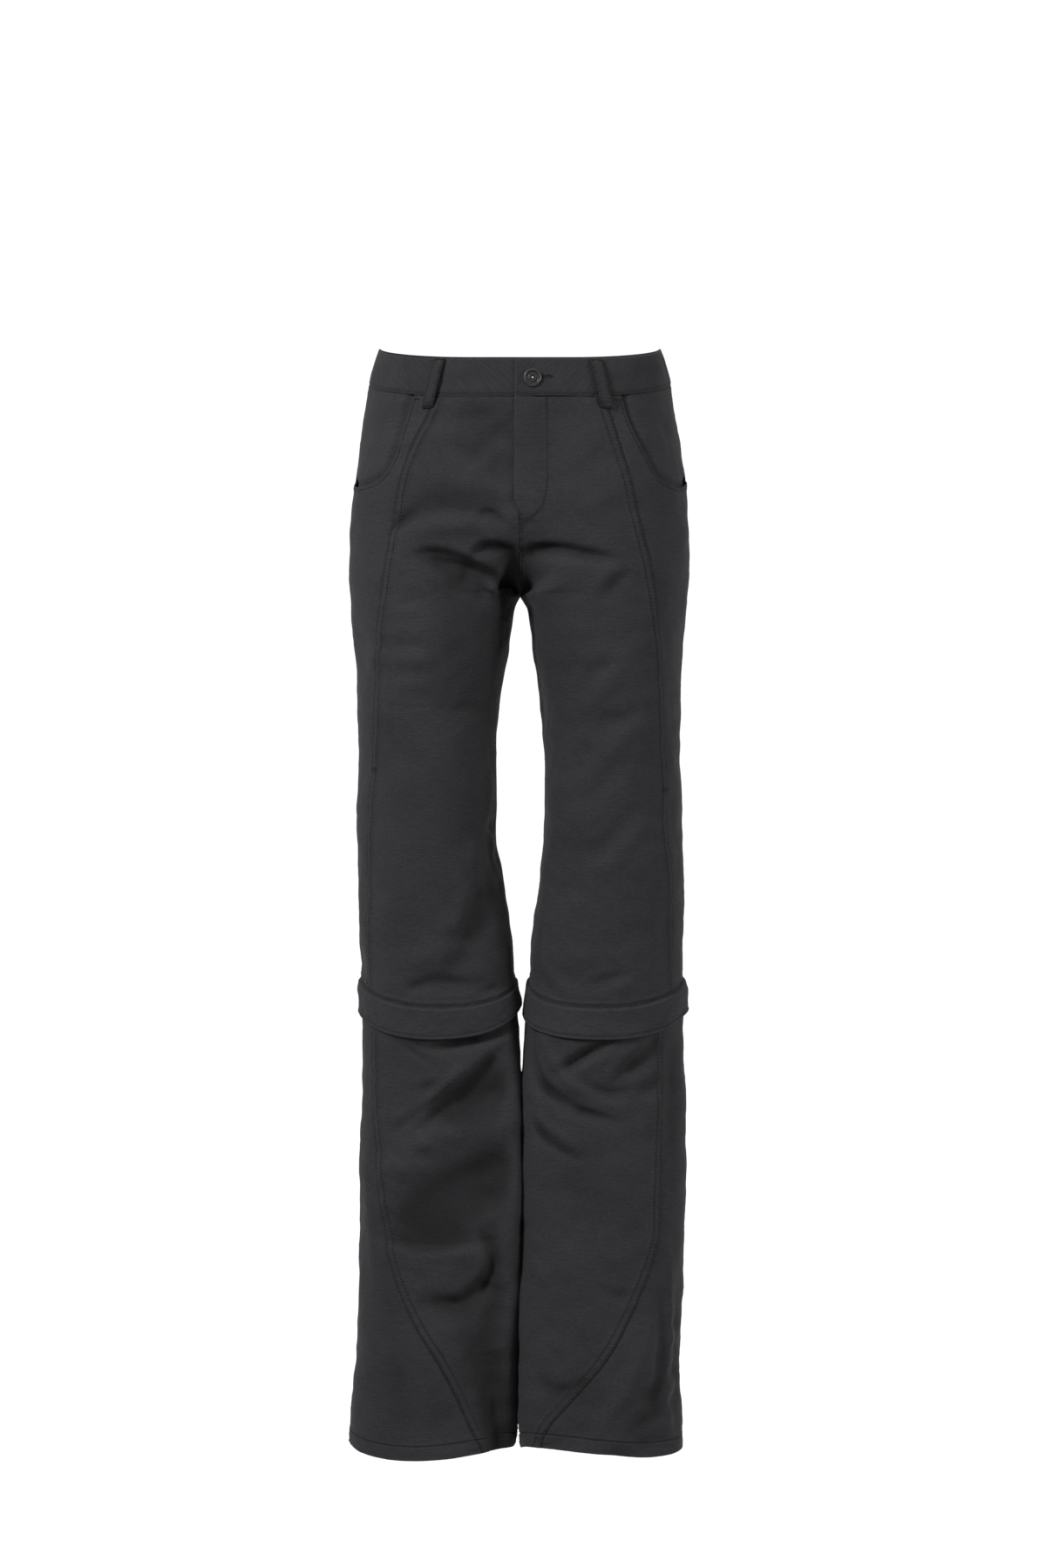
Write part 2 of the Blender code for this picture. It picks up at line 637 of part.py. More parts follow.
def make_belt_loop(name, side, head, foot, top_z, material):
    """A strip sewn down at both ends and standing off the waistband between them."""
    z = top_z - np.array([0.8, 4.0, 9.0, 22.0, 36.0, LOOP_LENGTH - 4, LOOP_LENGTH])
    middle = head + (foot - head) * (top_z - z) / LOOP_LENGTH
    reach = np.linspace(-0.5, 0.5, 3) * LOOP_WIDTH
    turn = middle[:, None] + reach[None] / speed(side, middle, z)[:, None]
    z = np.broadcast_to(z[:, None], turn.shape)
    stand = np.array([0.0, 0.2, 0.8, 1.0, 0.9, 0.15, 0.0])[:, None] * LOOP_STAND
    lift = WAISTBAND_OUT + SEAM_GAP + 0.35 + LOOP_WALL + stand
    cloth_wall(name, side, turn, z, material, out=lift, thick=LOOP_WALL)


def make_belt_loops(material):
    places = {"right": (77.0, 83.5), "left": (71.5, 78.0)}
    for side, (head, foot) in places.items():
        head, foot = (float(turn_at(side, x, -45.0)) for x in (head, foot))
        top_z = float(girdle(side, "waist_top", head))
        make_belt_loop("belt_loop_front_" + side, side, head, foot, top_z, material)
        top_z = float(girdle(side, "waist_top", 2.86))
        make_belt_loop("belt_loop_back_" + side, side, 2.86, 2.84, top_z, material)
    top_z = float(girdle("left", "waist_top", 4.0))
    make_belt_loop("belt_loop_back_centre", "left", 4.0, 4.0, top_z, material)


def turned(name, profile, material, centre, steps=28):
    """A turned piece on the -Y axis: a profile of (radius, height out from the cloth) with a Screw."""
    mesh = bpy.data.meshes.new(name)
    points = [(r * MM, 0.0, h * MM) for r, h in profile]
    mesh.from_pydata(points, [(i, i + 1) for i in range(len(points) - 1)], [])
    mesh.materials.append(material)
    thing = bpy.data.objects.new(name, mesh)
    bpy.data.collections[COLLECTION].objects.link(thing)
    screw = thing.modifiers.new("Turn", "SCREW")
    screw.steps = screw.render_steps = steps
    screw.use_merge_vertices = True
    screw.merge_threshold = 0.00001
    screw.use_smooth_shade = True
    thing.location = centre * MM
    thing.rotation_euler = (math.radians(90), 0, 0)
    return thing


def make_button(shell, metal):
    turn = float(turn_at("left", BUTTON_X, BUTTON_Z))
    carrier = WAISTBAND_OUT + BAND_WALL + SEAM_GAP
    seat = cloth("left", turn, BUTTON_Z, carrier + SEAM_GAP + 0.2, folded=False)
    r, h = BUTTON_RADIUS, BUTTON_THICK
    profile = (
        (0.0, h - 1.1),
        (TACK_RADIUS + 1.2, h - 1.1),
        (TACK_RADIUS + 2.0, h - 0.7),
        (r - 2.4, h - 0.7),
        (r - 1.7, h),
        (r - 0.8, h),
        (r, h - 0.8),
        (r, 1.0),
        (r - 0.8, 0.3),
        (0.0, 0.0),
    )
    turned("button", profile, shell, seat)
    tack = ((0.0, 0.9), (TACK_RADIUS * 0.6, 0.75), (TACK_RADIUS, 0.3), (TACK_RADIUS, 0.0), (0.0, 0.0))
    turned("button_tack", tack, metal, seat - np.array([0, h - 1.1 + SEAM_GAP, 0]), steps=16)


def make_knee(side, cloth_material, tape_material):
    """The band over the zip, and the zip's tape behind both legs' edges."""
    turn = np.linspace(0, 4, RING_COLUMNS + 1)[:-1] + 2.0 / RING_COLUMNS
    top, low = girdle(side, "knee_seam", turn) - HALF_GAP, girdle(side, "knee_hem", turn)
    share = np.array([0, 0.22, 0.6, 1])[:, None]
    z = top + (low - top) * share
    grid = np.broadcast_to(turn, z.shape)
    clear = np.where(share > 0, BAND_OUT + BAND_FLARE * share, BAND_HEAD_OUT)
    out = clear + BAND_WALL
    cloth_wall("knee_band_" + side, side, grid, z, cloth_material, out, BAND_WALL, ring=True)
    share = np.linspace(0, 1, 3)[:, None]
    z = girdle(side, "knee_seam", turn) + TAPE_UP - (TAPE_UP + TAPE_DOWN) * share
    grid = np.broadcast_to(turn, z.shape)
    cloth_wall("zip_tape_" + side, side, grid, z, tape_material, -WALL - TAPE_GAP, TAPE_WALL, ring=True)


def make_lower_leg(side, material):
    """Three panels from under the band to the hem."""
    top_offset = -ZIP_GAP
    ends = on_princess(side, "knee_seam", LOWER_PRINCESS) + top_offset, on_princess(side, "hem", LOWER_PRINCESS)
    columns = (LOWER_FRONT_COLUMNS, LOWER_SIDE_COLUMNS, LOWER_BACK_COLUMNS)
    share = np.linspace(0, 1, LOWER_ROWS + 1) ** 1.3
    seam_z = ends[0] + (ends[1] - ends[0]) * share
    seam = princess(side, seam_z, LOWER_PRINCESS)

    def straight(turn, gap):
        head, foot = float(girdle(side, "knee_seam", turn)) + top_offset, float(girdle(side, "hem", turn))
        z = head + (foot - head) * share
        return np.stack([shifted(side, turn, z, gap) if gap else np.full_like(z, turn), z], axis=-1)

    def curved(gap):
        return np.stack([shifted(side, seam, seam_z, gap), seam_z], axis=-1)

    edges = (
        ("lower_front_", straight(0.0, 0), curved(-HALF_GAP)),
        ("lower_side_", curved(HALF_GAP), straight(2.0, -HALF_GAP)),
        ("lower_back_", straight(2.0, HALF_GAP), straight(4.0, 0)),
    )
    for (name, first, last), count in zip(edges, columns):
        top = crosswise(side, "knee_seam", first[0, 0], last[0, 0], count, top_offset)
        bottom = crosswise(side, "hem", first[-1, 0], last[-1, 0], count, 0.0)
        turn, z = patch(first, last, top, bottom)
        cloth_wall(name + side, side, turn, z, material)


def make_material(name, colour, roughness, metallic=0.0):
    material = bpy.data.materials.new(name)
    material.use_nodes = True
    shader = material.node_tree.nodes["Principled BSDF"]
    shader.inputs["Base Color"].default_value = colour
    shader.inputs["Roughness"].default_value = roughness
    shader.inputs["Metallic"].default_value = metallic
    material.diffuse_color = colour
    return material


def main():
    for thing in list(bpy.data.objects):
        bpy.data.objects.remove(thing)
    collection = bpy.data.collections.new(COLLECTION)
    bpy.context.scene.collection.children.link(collection)
    cloth_material = make_material("trouser_cloth", CLOTH, 0.85)
    band_material = make_material("waistband_cloth", BAND_CLOTH, 0.85)
    tape_material = make_material("zip_tape", TAPE_BLACK, 0.8)
    button_material = make_material("button_black", BUTTON_BLACK, 0.35)
    steel = make_material("tack_metal", STEEL, 0.25, 1.0)
    make_waistband(band_material)
    make_belt_loops(band_material)
    make_button(button_material, steel)
    make_fly_shield(cloth_material)
    for side in SIDES:
        make_front_centre(side, cloth_material)
        make_front_side(side, cloth_material)
        make_pocket_facing(side, cloth_material)
        make_back(side, cloth_material)
        make_knee(side, cloth_material, tape_material)
        make_lower_leg(side, cloth_material)


main()
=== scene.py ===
"""The looks of a pair of convertible trousers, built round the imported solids.

Lengths are in millimetres until a mesh is made. "right" and "left" are the wearer's: right is at -X. A place
on the cloth is (side, turn, z): turn goes round one leg's level section from the inner front edge (0) by the
front (1), the outer side (2) and the back (3) to the inner back edge (4).
"""

import math
from collections import namedtuple

import bpy
import numpy as np
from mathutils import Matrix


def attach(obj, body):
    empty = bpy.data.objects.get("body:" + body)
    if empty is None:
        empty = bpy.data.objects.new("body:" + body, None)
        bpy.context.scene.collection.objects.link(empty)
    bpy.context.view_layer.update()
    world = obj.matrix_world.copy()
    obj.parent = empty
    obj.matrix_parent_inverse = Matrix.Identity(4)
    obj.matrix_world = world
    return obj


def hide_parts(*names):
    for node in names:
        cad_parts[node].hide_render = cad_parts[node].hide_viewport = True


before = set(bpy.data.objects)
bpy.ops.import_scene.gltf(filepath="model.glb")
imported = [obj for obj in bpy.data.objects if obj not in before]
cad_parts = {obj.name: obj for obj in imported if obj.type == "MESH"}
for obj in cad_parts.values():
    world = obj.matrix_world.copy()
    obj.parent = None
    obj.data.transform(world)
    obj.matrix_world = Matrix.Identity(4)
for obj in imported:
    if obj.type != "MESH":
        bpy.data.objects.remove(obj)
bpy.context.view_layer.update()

MM = 0.001
SIDES = {"right": -1, "left": 1}

WALL = 1.3
BAND_WALL = 1.8
TAPE_WALL = 1.0
# Handle of a Bezier quarter that makes a quarter circle, and how a squarer corner lengthens the handles
ROUND = 0.5523
SQUARE_HANDLE = 0.36
SQUARE_FULL = 0.9
SIDE_Y = 2.0
CROTCH_Z = -237.0
CROTCH_Y = 8.0
FRONT_CURVE_TOP = -165.0
BACK_CURVE_TOP = -140.0

LAP = 5.0
FLY_LIFT = 2.0
FLY_WIDTH = 27.0
FLY_END = -163.0
FLY_FADE = 12.0
WAISTBAND_OUT = 0.4
UNDERLAP = 38.0
LAP_FADE = 16.0
LAP_STEP = BAND_WALL + 0.3
LAP_STEP_BELOW = 1.7
WAIST_ROW = 2.6

BUTTON_X = 11.3
BUTTON_Z = -38.7
BUTTON_RADIUS = 8.6

LOOP_WIDTH = 11.0
LOOP_WALL = 1.6
LOOP_STAND = 2.2
LOOP_LENGTH = 47.0
LOOP_ROW = 3.9
# Where the loops of the front start and end, as distances from the centre, and the turns of those behind
LOOP_PLACES = {"right": (77.0, 83.5), "left": (71.5, 78.0)}
LOOP_TURNS_BACK = (2.86, 2.84)

FACING_TUCK = 9.0
FACING_DIP = 1.9
FACING_STEP = 9.0

BAND_OUT = 1.0
KNEE_BAND_DEPTH = 31.0
KNEE_BAND_ROW = 27.5
KNEE_ROW = 2.4
ZIP_GAP = 9.0
TAPE_RISE = 7.0
TAPE_DEPTH = 26.0
CHAIN_DROP = 5.2
TOOTH_PITCH = 2.0
HEM_DEPTH = 13.5

# How far the panels run on under the waistband and past the knee seam
TOP_TUCK = 1.2
LOW_TUCK = 1.0

# How much painted shade darkens the deepest creases
HOLLOW_PAINTED_SHADE = 0.55

# Sewing
SEAM_TUCK = 0.35
SEAM_WIDTH = 0.75
# How much painted shade darkens the cloth along a seam
SEAM_PAINTED_SHADE = 0.8
TWIN_ROWS = (1.4, 7.4)
FLY_ROW = 1.9
MOUTH_ROW = 2.0
ROW_WIDTH = 0.8
ROW_DEPTH = 0.45
# How much painted shade darkens the cloth along a row of stitches, and over what width
ROW_PAINTED_SHADE = 0.62
ROW_PAINTED_SHADE_WIDTH = 0.85
PUCKER_REACH = 9.0
STITCH_PITCH = 3.3
STITCH_LENGTH = 2.6
STITCH_RADIUS = 0.46
TACK_RADIUS = 0.3
THIGH_TACK_Z = {"right": -400.0, "left": -418.5}

# Points in a line down or round the cloth
DENSE = 420


def table(header, *rows):
    """A table with named columns, its rows in rising order of the first."""
    data = np.array(sorted(rows), float)
    return {name: data[:, i] for i, name in enumerate(header.split())}


SECTIONS = table(
    "z out_right out_left crest front back full",
    (40, 126, 124, 48, -82, 86, 0.55),
    (0, 134, 133, 50, -86, 92, 0.55),
    (-27, 142, 141.5, 52, -90, 98, 0.55),
    (-58, 148, 146, 54, -93, 104, 0.55),
    (-91, 153, 152, 57, -96, 111, 0.55),
    (-125, 158, 157, 61, -98, 117, 0.56),
    (-158, 161.5, 159.5, 66, -98, 120, 0.60),
    (-191, 162.5, 161, 72, -97, 118, 0.68),
    (-237, 161.5, 158.5, 79, -95, 109, 0.76),
    (-291, 157, 154, 84, -91, 96, 0.70),
    (-357, 154.5, 153, 88, -86, 85, 0.60),
    (-440, 154.5, 154, 88, -80, 76, 0.56),
    (-506, 154, 155, 86, -74, 69, 0.56),
    (-589, 151.6, 154.3, 80, -68, 62, 0.56),
    (-640, 150.2, 154.6, 78, -65, 61, 0.57),
    (-705, 151, 156.5, 77, -62, 62, 0.58),
    (-789, 152.5, 157, 77, -61, 64, 0.58),
    (-872, 153.5, 156, 77, -60, 63, 0.58),
    (-955, 157, 153.5, 79, -60, 61, 0.58),
    (-1038, 162, 154.5, 80, -61, 60, 0.58),
    (-1070, 164, 155, 80, -61, 60, 0.58),
)
# Where each leg's inner edge lies, and how squarely its front turns into it
INSEAM = table(
    "z in_right in_left y_right y_left flat_right flat_left",
    (-237, 0.15, 0.15, 8, 8, 0, 0.7),
    (-245, 4.5, 5.0, 9, 8, 0, 0.7),
    (-257, 7.5, 8.5, 10, 8, 0, 0.6),
    (-291, 11.8, 12.6, 9, 6, 0, 0.35),
    (-324, 18.0, 17.6, 7, 4, 0, 0.15),
    (-357, 20.8, 21.6, 5, 3, 0, 0.05),
    (-407, 21.8, 22.8, 2, 0, 0, 0.1),
    (-457, 21.4, 22.6, 0, -2, 0, 0.1),
    (-490, 17.6, 19.8, -1, -3, 0, 0.1),
    (-523, 13.2, 16.2, -2, -4, 0, 0.15),
    (-556, 8.6, 11.2, -3, -5, 0, 0.2),
    (-600, 5.2, 8.6, -6, -7, 0.1, 0.3),
    (-650, 1.2, 4.0, -9, -12, 0.3, 0.5),
    (-689, -1.2, 1.2, -16, -18, 0.9, 0.75),
    (-730, -2.0, 0.0, -22.5, -24, 1.2, 0.9),
    (-800, -2.4, 0.0, -25.5, -27, 1.3, 0.95),
    (-860, -2.2, -0.8, -24, -27, 1.15, 0.95),
    (-920, -0.6, -2.6, -18, -27, 0.75, 0.95),
    (-970, -0.4, -3.0, -14, -27, 0.45, 0.9),
    (-1000, 0.8, -1.6, -12, -25, 0.32, 0.9),
    (-1038, 3.2, -0.6, -11, -24, 0.25, 0.9),
    (-1070, 7.0, 1.0, -18, -24, 0.75, 0.9),
)
PRINCESS = table(
    "z right left",
    (-30, 74, 70),
    (-64, 83, 81),
    (-105, 103, 94),
    (-137, 113.5, 103.5),
    (-170, 120, 111),
    (-210, 126, 121),
    (-250, 131, 128),
    (-300, 134.5, 132.5),
    (-400, 139, 136),
    (-465, 143.5, 138.5),
    (-500, 145, 142.5),
    (-580, 145, 145),
    (-640, 145, 145.5),
)
LOWER_PRINCESS = table(
    "z right left",
    (-590, 139, 135),
    (-641, 139.5, 135),
    (-703, 140, 135),
    (-795, 133, 132),
    (-841, 128.5, 130),
    (-880, 119, 118.5),
    (-922, 99.5, 99.5),
    (-957, 77.5, 79),
    (-991, 59.5, 50),
    (-1023, 44.5, 23),
    (-1045, 32, 17),
)
# Lines round the body or the leg: height at the side, drop at the front, rise at the back.
GIRDLES = {
    "waist_top": (0.0, 20.0, 3.0),
    "waist_seam": (-33.5, 22.0, 3.0),
    "knee_seam": (-599.0, 25.0, 7.0),
    "knee_hem": (-630.0, 23.5, 7.0),
    "hem": (-1043.5, 2.0, 0.0),
}
# The pocket's mouth, as distance and height. The last is where it meets the side seam, at turn 2.
SCOOP = {
    "right": ((98, -46), (108, -85), (117.5, -113), (131, -131.5), (146, -136.5), (2, -128)),
    "left": ((93, -46), (103.5, -85), (118.5, -113), (130, -131.5), (144, -137), (2, -126)),
}
HEM_WAVE = table(
    "turn right left",
    (0, 2, 2.5),
    (0.35, 4, 8),
    (0.7, 2.5, 7.5),
    (1.0, -2, 3),
    (1.3, -3.5, -1),
    (1.6, -1.5, -2.5),
    (2, 3.5, -0.5),
    (2.5, 0, 2),
    (3, -3, -3),
    (3.5, 0, 0),
    (4, 2, 2.5),
)

# Creases. Each is a bowed trough (or ridge, where its height is above 0) on the front (face -1) or the back
# (face 1), through three points given as distance from the centre and height. Its two flanks have their own
# widths: up is the flank above the line and down the one below it. On a line that runs straight down, up is
# the flank farther from the centre.
Crease = namedtuple("Crease", "face x1 z1 x2 z2 x3 z3 height up down")
CREASES = {
    "right": (
        # hip arch, and the creases that run out from the crotch
        (-1, 118, -181, 84, -161, 28, -164, -5.8, 17, 5),
        (-1, 38, -168, 26, -164, 14, -178, -4.2, 4, 5),
        (-1, 99, -204, 66, -203, 18, -227, -7.5, 4.5, 18),
        (-1, 82, -209, 48, -215, 20, -226, -7, 5, 24),
        (-1, 43, -204, 27, -195, 2, -204, -8, 4.5, 7),
        (-1, 7, -204, 9, -226, 12, -262, -8, 8, 8),
        (-1, 20, -206, 22, -230, 26, -262, 3, 6, 8),
        (-1, 100, -182, 60, -176, 26, -180, 3, 9, 9),
        (-1, 58, -80, 44, -74, 22, -72, -1.4, 7, 9),
        (-1, 30, -58, 24, -110, 12, -164, -3.4, 36, 40),
        (-1, 98, -110, 84, -104, 62, -108, -1.2, 8, 10),
        # thigh
        (-1, 122, -352, 116, -378, 94, -401, -3.2, 8, 12),
        (-1, 100, -245, 92, -290, 92, -345, 6, 26, 34),
        (-1, 50, -245, 66, -300, 44, -360, -5, 26, 30),
        (-1, 64, -349, 46, -343, 28, -345, -1.4, 5, 7),
        (-1, 44, -462, 26, -452, 14, -462, -2.1, 6, 9),
        (-1, 90, -340, 84, -420, 88, -500, 3, 26, 30),
        (-1, 16, -430, 34, -520, 64, -592, -5.5, 12, 20),
        (-1, 34, -480, 60, -545, 92, -580, 3.4, 14, 14),
        (-1, 106, -612, 84, -600, 38, -604, -4.6, 6, 8),
        (-1, 36, -612, 26, -608, 12, -600, -2.4, 4, 6),
        (-1, 128, -560, 122, -590, 112, -612, 1.4, 6, 7),
        # below the band
        (-1, 70, -656, 42, -650, 4, -637, -12, 14, 7),
        (-1, 20, -667, 54, -700, 98, -743, -10, 4.5, 24),
        (-1, 24, -668, 38, -684, 64, -708, -3, 7, 12),
        (-1, 54, -680, 72, -699, 100, -730, 3.6, 4, 3.5),
        (-1, 54, -690, 78, -710, 118, -739, -4.6, 3.2, 9),
        (-1, 70, -690, 84, -698, 98, -702, -3.4, 5, 7),
        (-1, 120, -652, 104, -662, 86, -674, -3.2, 3, 5),
        (-1, 104, -652, 92, -660, 76, -664, -2.4, 2.5, 4),
        (-1, 84, -660, 72, -660, 58, -656, -3.4, 3, 5),
        (-1, 15, -646, 8, -660, 3, -676, 2.1, 4, 4),
        # the shin's two facets, the hollow between them, the crescent and what lies round them
        (-1, 2, -726, 84, -750, 140, -824, 5, 22, 14),
        (-1, 126, -842, 84, -848, 40, -842, -8, 26, 5),
        (-1, 20, -762, 28, -800, 22, -836, -6.5, 16, 16),
        (-1, 104, -868, 64, -874, 18, -908, -3.2, 24, 34),
        (-1, 18, -884, 26, -915, 34, -955, -6, 13, 15),
        (-1, 120, -181, 109, -168, 94, -158, -3, 4, 5),
        (-1, -6, -690, 26, -708, 66, -740, -11, 15, 22),
        (-1, -50, -764, 46, -784, 116, -836, -9.5, 18, 34),
        (-1, 34, -838, 26, -868, 42, -888, -9, 5, 9),
        (-1, 30, -880, 50, -899, 88, -902, -7.5, 8, 14),
        (-1, 66, -864, 70, -876, 90, -884, 3, 12, 10),
        (-1, 52, -905, 46, -945, 34, -990, -4, 10, 14),
        (-1, 118, -940, 76, -985, 44, -1036, -4, 60, 60),
        (-1, 74, -905, 76, -950, 66, -1010, 1.8, 10, 12),
        (-1, 26, -945, 17, -1010, 15, -1080, -12, 13, 15),
        (-1, 10, -905, 4, -950, 4, -990, 1.8, 5, 5),
        (-1, 141, -740, 143, -800, 137, -890, 2.2, 5, 5),
        (-1, 128, -880, 120, -950, 112, -1040, -2.4, 14, 14),
        (-1, 96, -940, 92, -990, 94, -1044, 1.8, 12, 12),
        # seat, back of the thigh and of the shin
        (1, 116, -206, 70, -218, 18, -236, -6.4, 8, 15),
        (1, 118, -256, 76, -262, 28, -274, -4.6, 8, 13),
        (1, 96, -290, 70, -300, 40, -298, -2.6, 8, 10),
        (1, 100, -92, 70, -100, 34, -88, -1.4, 9, 10),
        (1, 124, -150, 100, -168, 84, -198, -2.2, 9, 12),
        (1, 30, -466, 70, -500, 120, -545, -4.9, 8, 15),
        (1, 26, -520, 60, -540, 112, -556, -3.5, 7, 12),
        (1, 128, -560, 84, -584, 38, -582, -4.3, 6, 10),
        (1, 120, -404, 88, -420, 60, -452, -2, 10, 14),
        (1, 24, -668, 66, -690, 122, -736, -6.7, 5, 18),
        (1, 116, -652, 84, -664, 44, -654, -4.1, 4, 9),
        (1, 122, -700, 84, -720, 48, -722, -3.2, 6, 10),
        (1, 110, -800, 80, -850, 34, -882, -4.3, 11, 20),
        (1, 40, -900, 70, -930, 90, -990, -2.6, 12, 16),
        (1, 120, -880, 112, -950, 104, -1010, 1.6, 12, 14),
    ),
    "left": (
        (-1, 0, -203, 34, -197, 84, -206, -8, 4.5, 8),
        (-1, 70, -240, 78, -223, 92, -213, 3.2, 5, 6),
        (-1, 78, -247, 88, -230, 104, -218, -2.6, 4, 12),
        (-1, 12, -219, 34, -212, 62, -218, 1.8, 10, 12),
        (-1, 4, -212, 10, -228, 12, -262, -1, 5, 5),
        (-1, 34, -132, 60, -122, 84, -100, -1.4, 9, 12),
        (-1, 30, -58, 26, -100, 12, -150, -3.4, 40, 36),
        (-1, 60, -158, 80, -148, 96, -132, 1.5, 8, 9),
        (-1, 84, -296, 70, -312, 52, -334, -2.4, 7, 10),
        (-1, 96, -300, 80, -322, 62, -346, 1.6, 7, 8),
        (-1, 114, -344, 84, -356, 58, -390, -2.6, 9, 16),
        (-1, 118, -356, 94, -370, 66, -404, 1.8, 9, 10),
        (-1, 100, -396, 78, -410, 62, -436, -2.2, 8, 12),
        (-1, 60, -478, 78, -470, 100, -444, -2.4, 8, 11),
        (-1, 66, -496, 90, -484, 112, -454, 1.8, 9, 10),
        (-1, 116, -520, 124, -560, 116, -600, 1.5, 8, 10),
        (-1, 22, -570, 30, -596, 52, -612, 2, 8, 8),
        (-1, 66, -604, 80, -598, 96, -594, -3.6, 5, 8),
        (-1, 84, -606, 96, -604, 104, -594, 1.8, 6, 6),
        # below the band
        (-1, 14, -640, 24, -696, 90, -730, -8, 3.4, 8),
        (-1, 25, -640, 38, -686, 94, -718, 3.2, 5, 5),
        (-1, 38, -684, 54, -671, 84, -654, -8, 4, 7),
        (-1, 52, -684, 66, -676, 84, -668, 2.2, 5, 5),
        (-1, 84, -699, 106, -678, 131, -652, -5.6, 6, 9),
        (-1, 80, -690, 94, -672, 112, -656, 2, 5, 5),
        (-1, 56, -690, 80, -704, 104, -700, -3.6, 4, 8),
        (-1, 110, -708, 122, -700, 134, -692, -3, 6, 8),
        (-1, 10, -727, 28, -748, 54, -766, -5.5, 3, 5),
        (-1, 18, -726, 38, -744, 66, -758, 2, 5, 5),
        (-1, 4, -852, 14, -868, 26, -884, 1.8, 6, 8),
        (-1, 30, -766, 60, -800, 92, -806, -1.5, 14, 18),
        (-1, 78, -884, 92, -894, 104, -890, -2, 5, 7),
        (-1, 50, -930, 64, -948, 58, -985, -2.4, 10, 12),
        (-1, 14, -968, 38, -984, 66, -972, -4.6, 7, 14),
        (-1, 66, -1026, 98, -984, 122, -925, 4, 9, 9),
        (-1, 86, -1054, 118, -1014, 142, -950, -5.5, 14, 28),
        (-1, 20, -1040, 50, -1010, 90, -1000, -3, 30, 30),
        (-1, 139, -852, 141, -930, 137, -1014, 2.7, 4, 4),
        (-1, 148, -652, 143, -700, 143, -780, -3.4, 9, 6),
        (-1, 131, -890, 132, -950, 127, -1030, -3.2, 5, 7),
        (-1, 148, -900, 149, -950, 148, -1030, -2, 4, 4),
        # seat, back of the thigh and of the shin
        (1, 112, -208, 70, -220, 18, -238, -6.1, 8, 15),
        (1, 116, -258, 72, -266, 28, -272, -4.6, 8, 13),
        (1, 92, -292, 66, -300, 38, -296, -2.6, 8, 10),
        (1, 96, -96, 66, -102, 34, -90, -1.4, 9, 10),
        (1, 122, -148, 102, -168, 86, -196, -2.2, 9, 12),
        (1, 34, -472, 70, -508, 116, -550, -4.9, 8, 15),
        (1, 30, -528, 66, -546, 110, -558, -3.2, 7, 12),
        (1, 124, -566, 84, -588, 36, -580, -4.3, 6, 10),
        (1, 122, -400, 92, -420, 62, -446, -2, 10, 14),
        (1, 28, -672, 66, -694, 118, -728, -6.4, 5, 18),
        (1, 112, -654, 80, -664, 42, -656, -4.1, 4, 9),
        (1, 120, -706, 86, -722, 50, -726, -3.2, 6, 10),
        (1, 104, -806, 76, -850, 38, -876, -4.3, 11, 20),
        (1, 44, -896, 70, -932, 88, -985, -2.6, 12, 16),
        (1, 118, -876, 112, -950, 106, -1008, 1.6, 12, 14),
    ),
}


def read(source, name, at):
    """The named column at this place: a cubic Hermite curve through the rows, straight on past the ends."""
    knots, values = source[next(iter(source))], source[name]
    slopes = np.gradient(values, knots)
    i = np.clip(np.searchsorted(knots, at) - 1, 0, len(knots) - 2)
    step = knots[i + 1] - knots[i]
    t = np.clip((at - knots[i]) / step, 0, 1)
    start = (1 + 2 * t) * (1 - t) ** 2 * values[i] + t * (1 - t) ** 2 * step * slopes[i]
    end = t * t * (3 - 2 * t) * values[i + 1] + t * t * (t - 1) * step * slopes[i + 1]
    return start + end


def ease(t):
    """0 before 0, 1 after 1, and t^2 (3 - 2t) between."""
    t = np.clip(t, 0, 1)
    return t * t * (3 - 2 * t)


def bell(distance, width):
    """exp(-(distance / width)^2)."""
    return np.exp(-((distance / width) ** 2))


def crotch_curve(z, top, surface):
    """Depth and lean of a centre seam, which runs from the surface at top to the crotch point: a quarter
    ellipse softened by a cubic."""
    share = np.clip((top - z) / (top - CROTCH_Z), 0, 1)
    bend = 0.65 * share**3 + 0.35 * (1 - np.sqrt(1 - share**2))
    depth = surface + (CROTCH_Y - surface) * bend
    return depth, 0.5 * math.pi * share**3


def arc(points, t):
    """A cubic Bezier through four (x, y) control points, going straight on past its ends."""
    inside = np.clip(t, 0, 1)
    past, rest = t - inside, 1 - inside
    weights = (rest**3, 3 * inside * rest**2, 3 * inside**2 * rest, inside**3)
    rates = (3 * rest**2, 6 * inside * rest, 3 * inside**2)
    made = []
    for a, b, c, d in zip(*points):
        value = sum(w * v for w, v in zip(weights, (a, b, c, d)))
        made.append(value + past * sum(w * v for w, v in zip(rates, (b - a, c - b, d - c))))
    return made


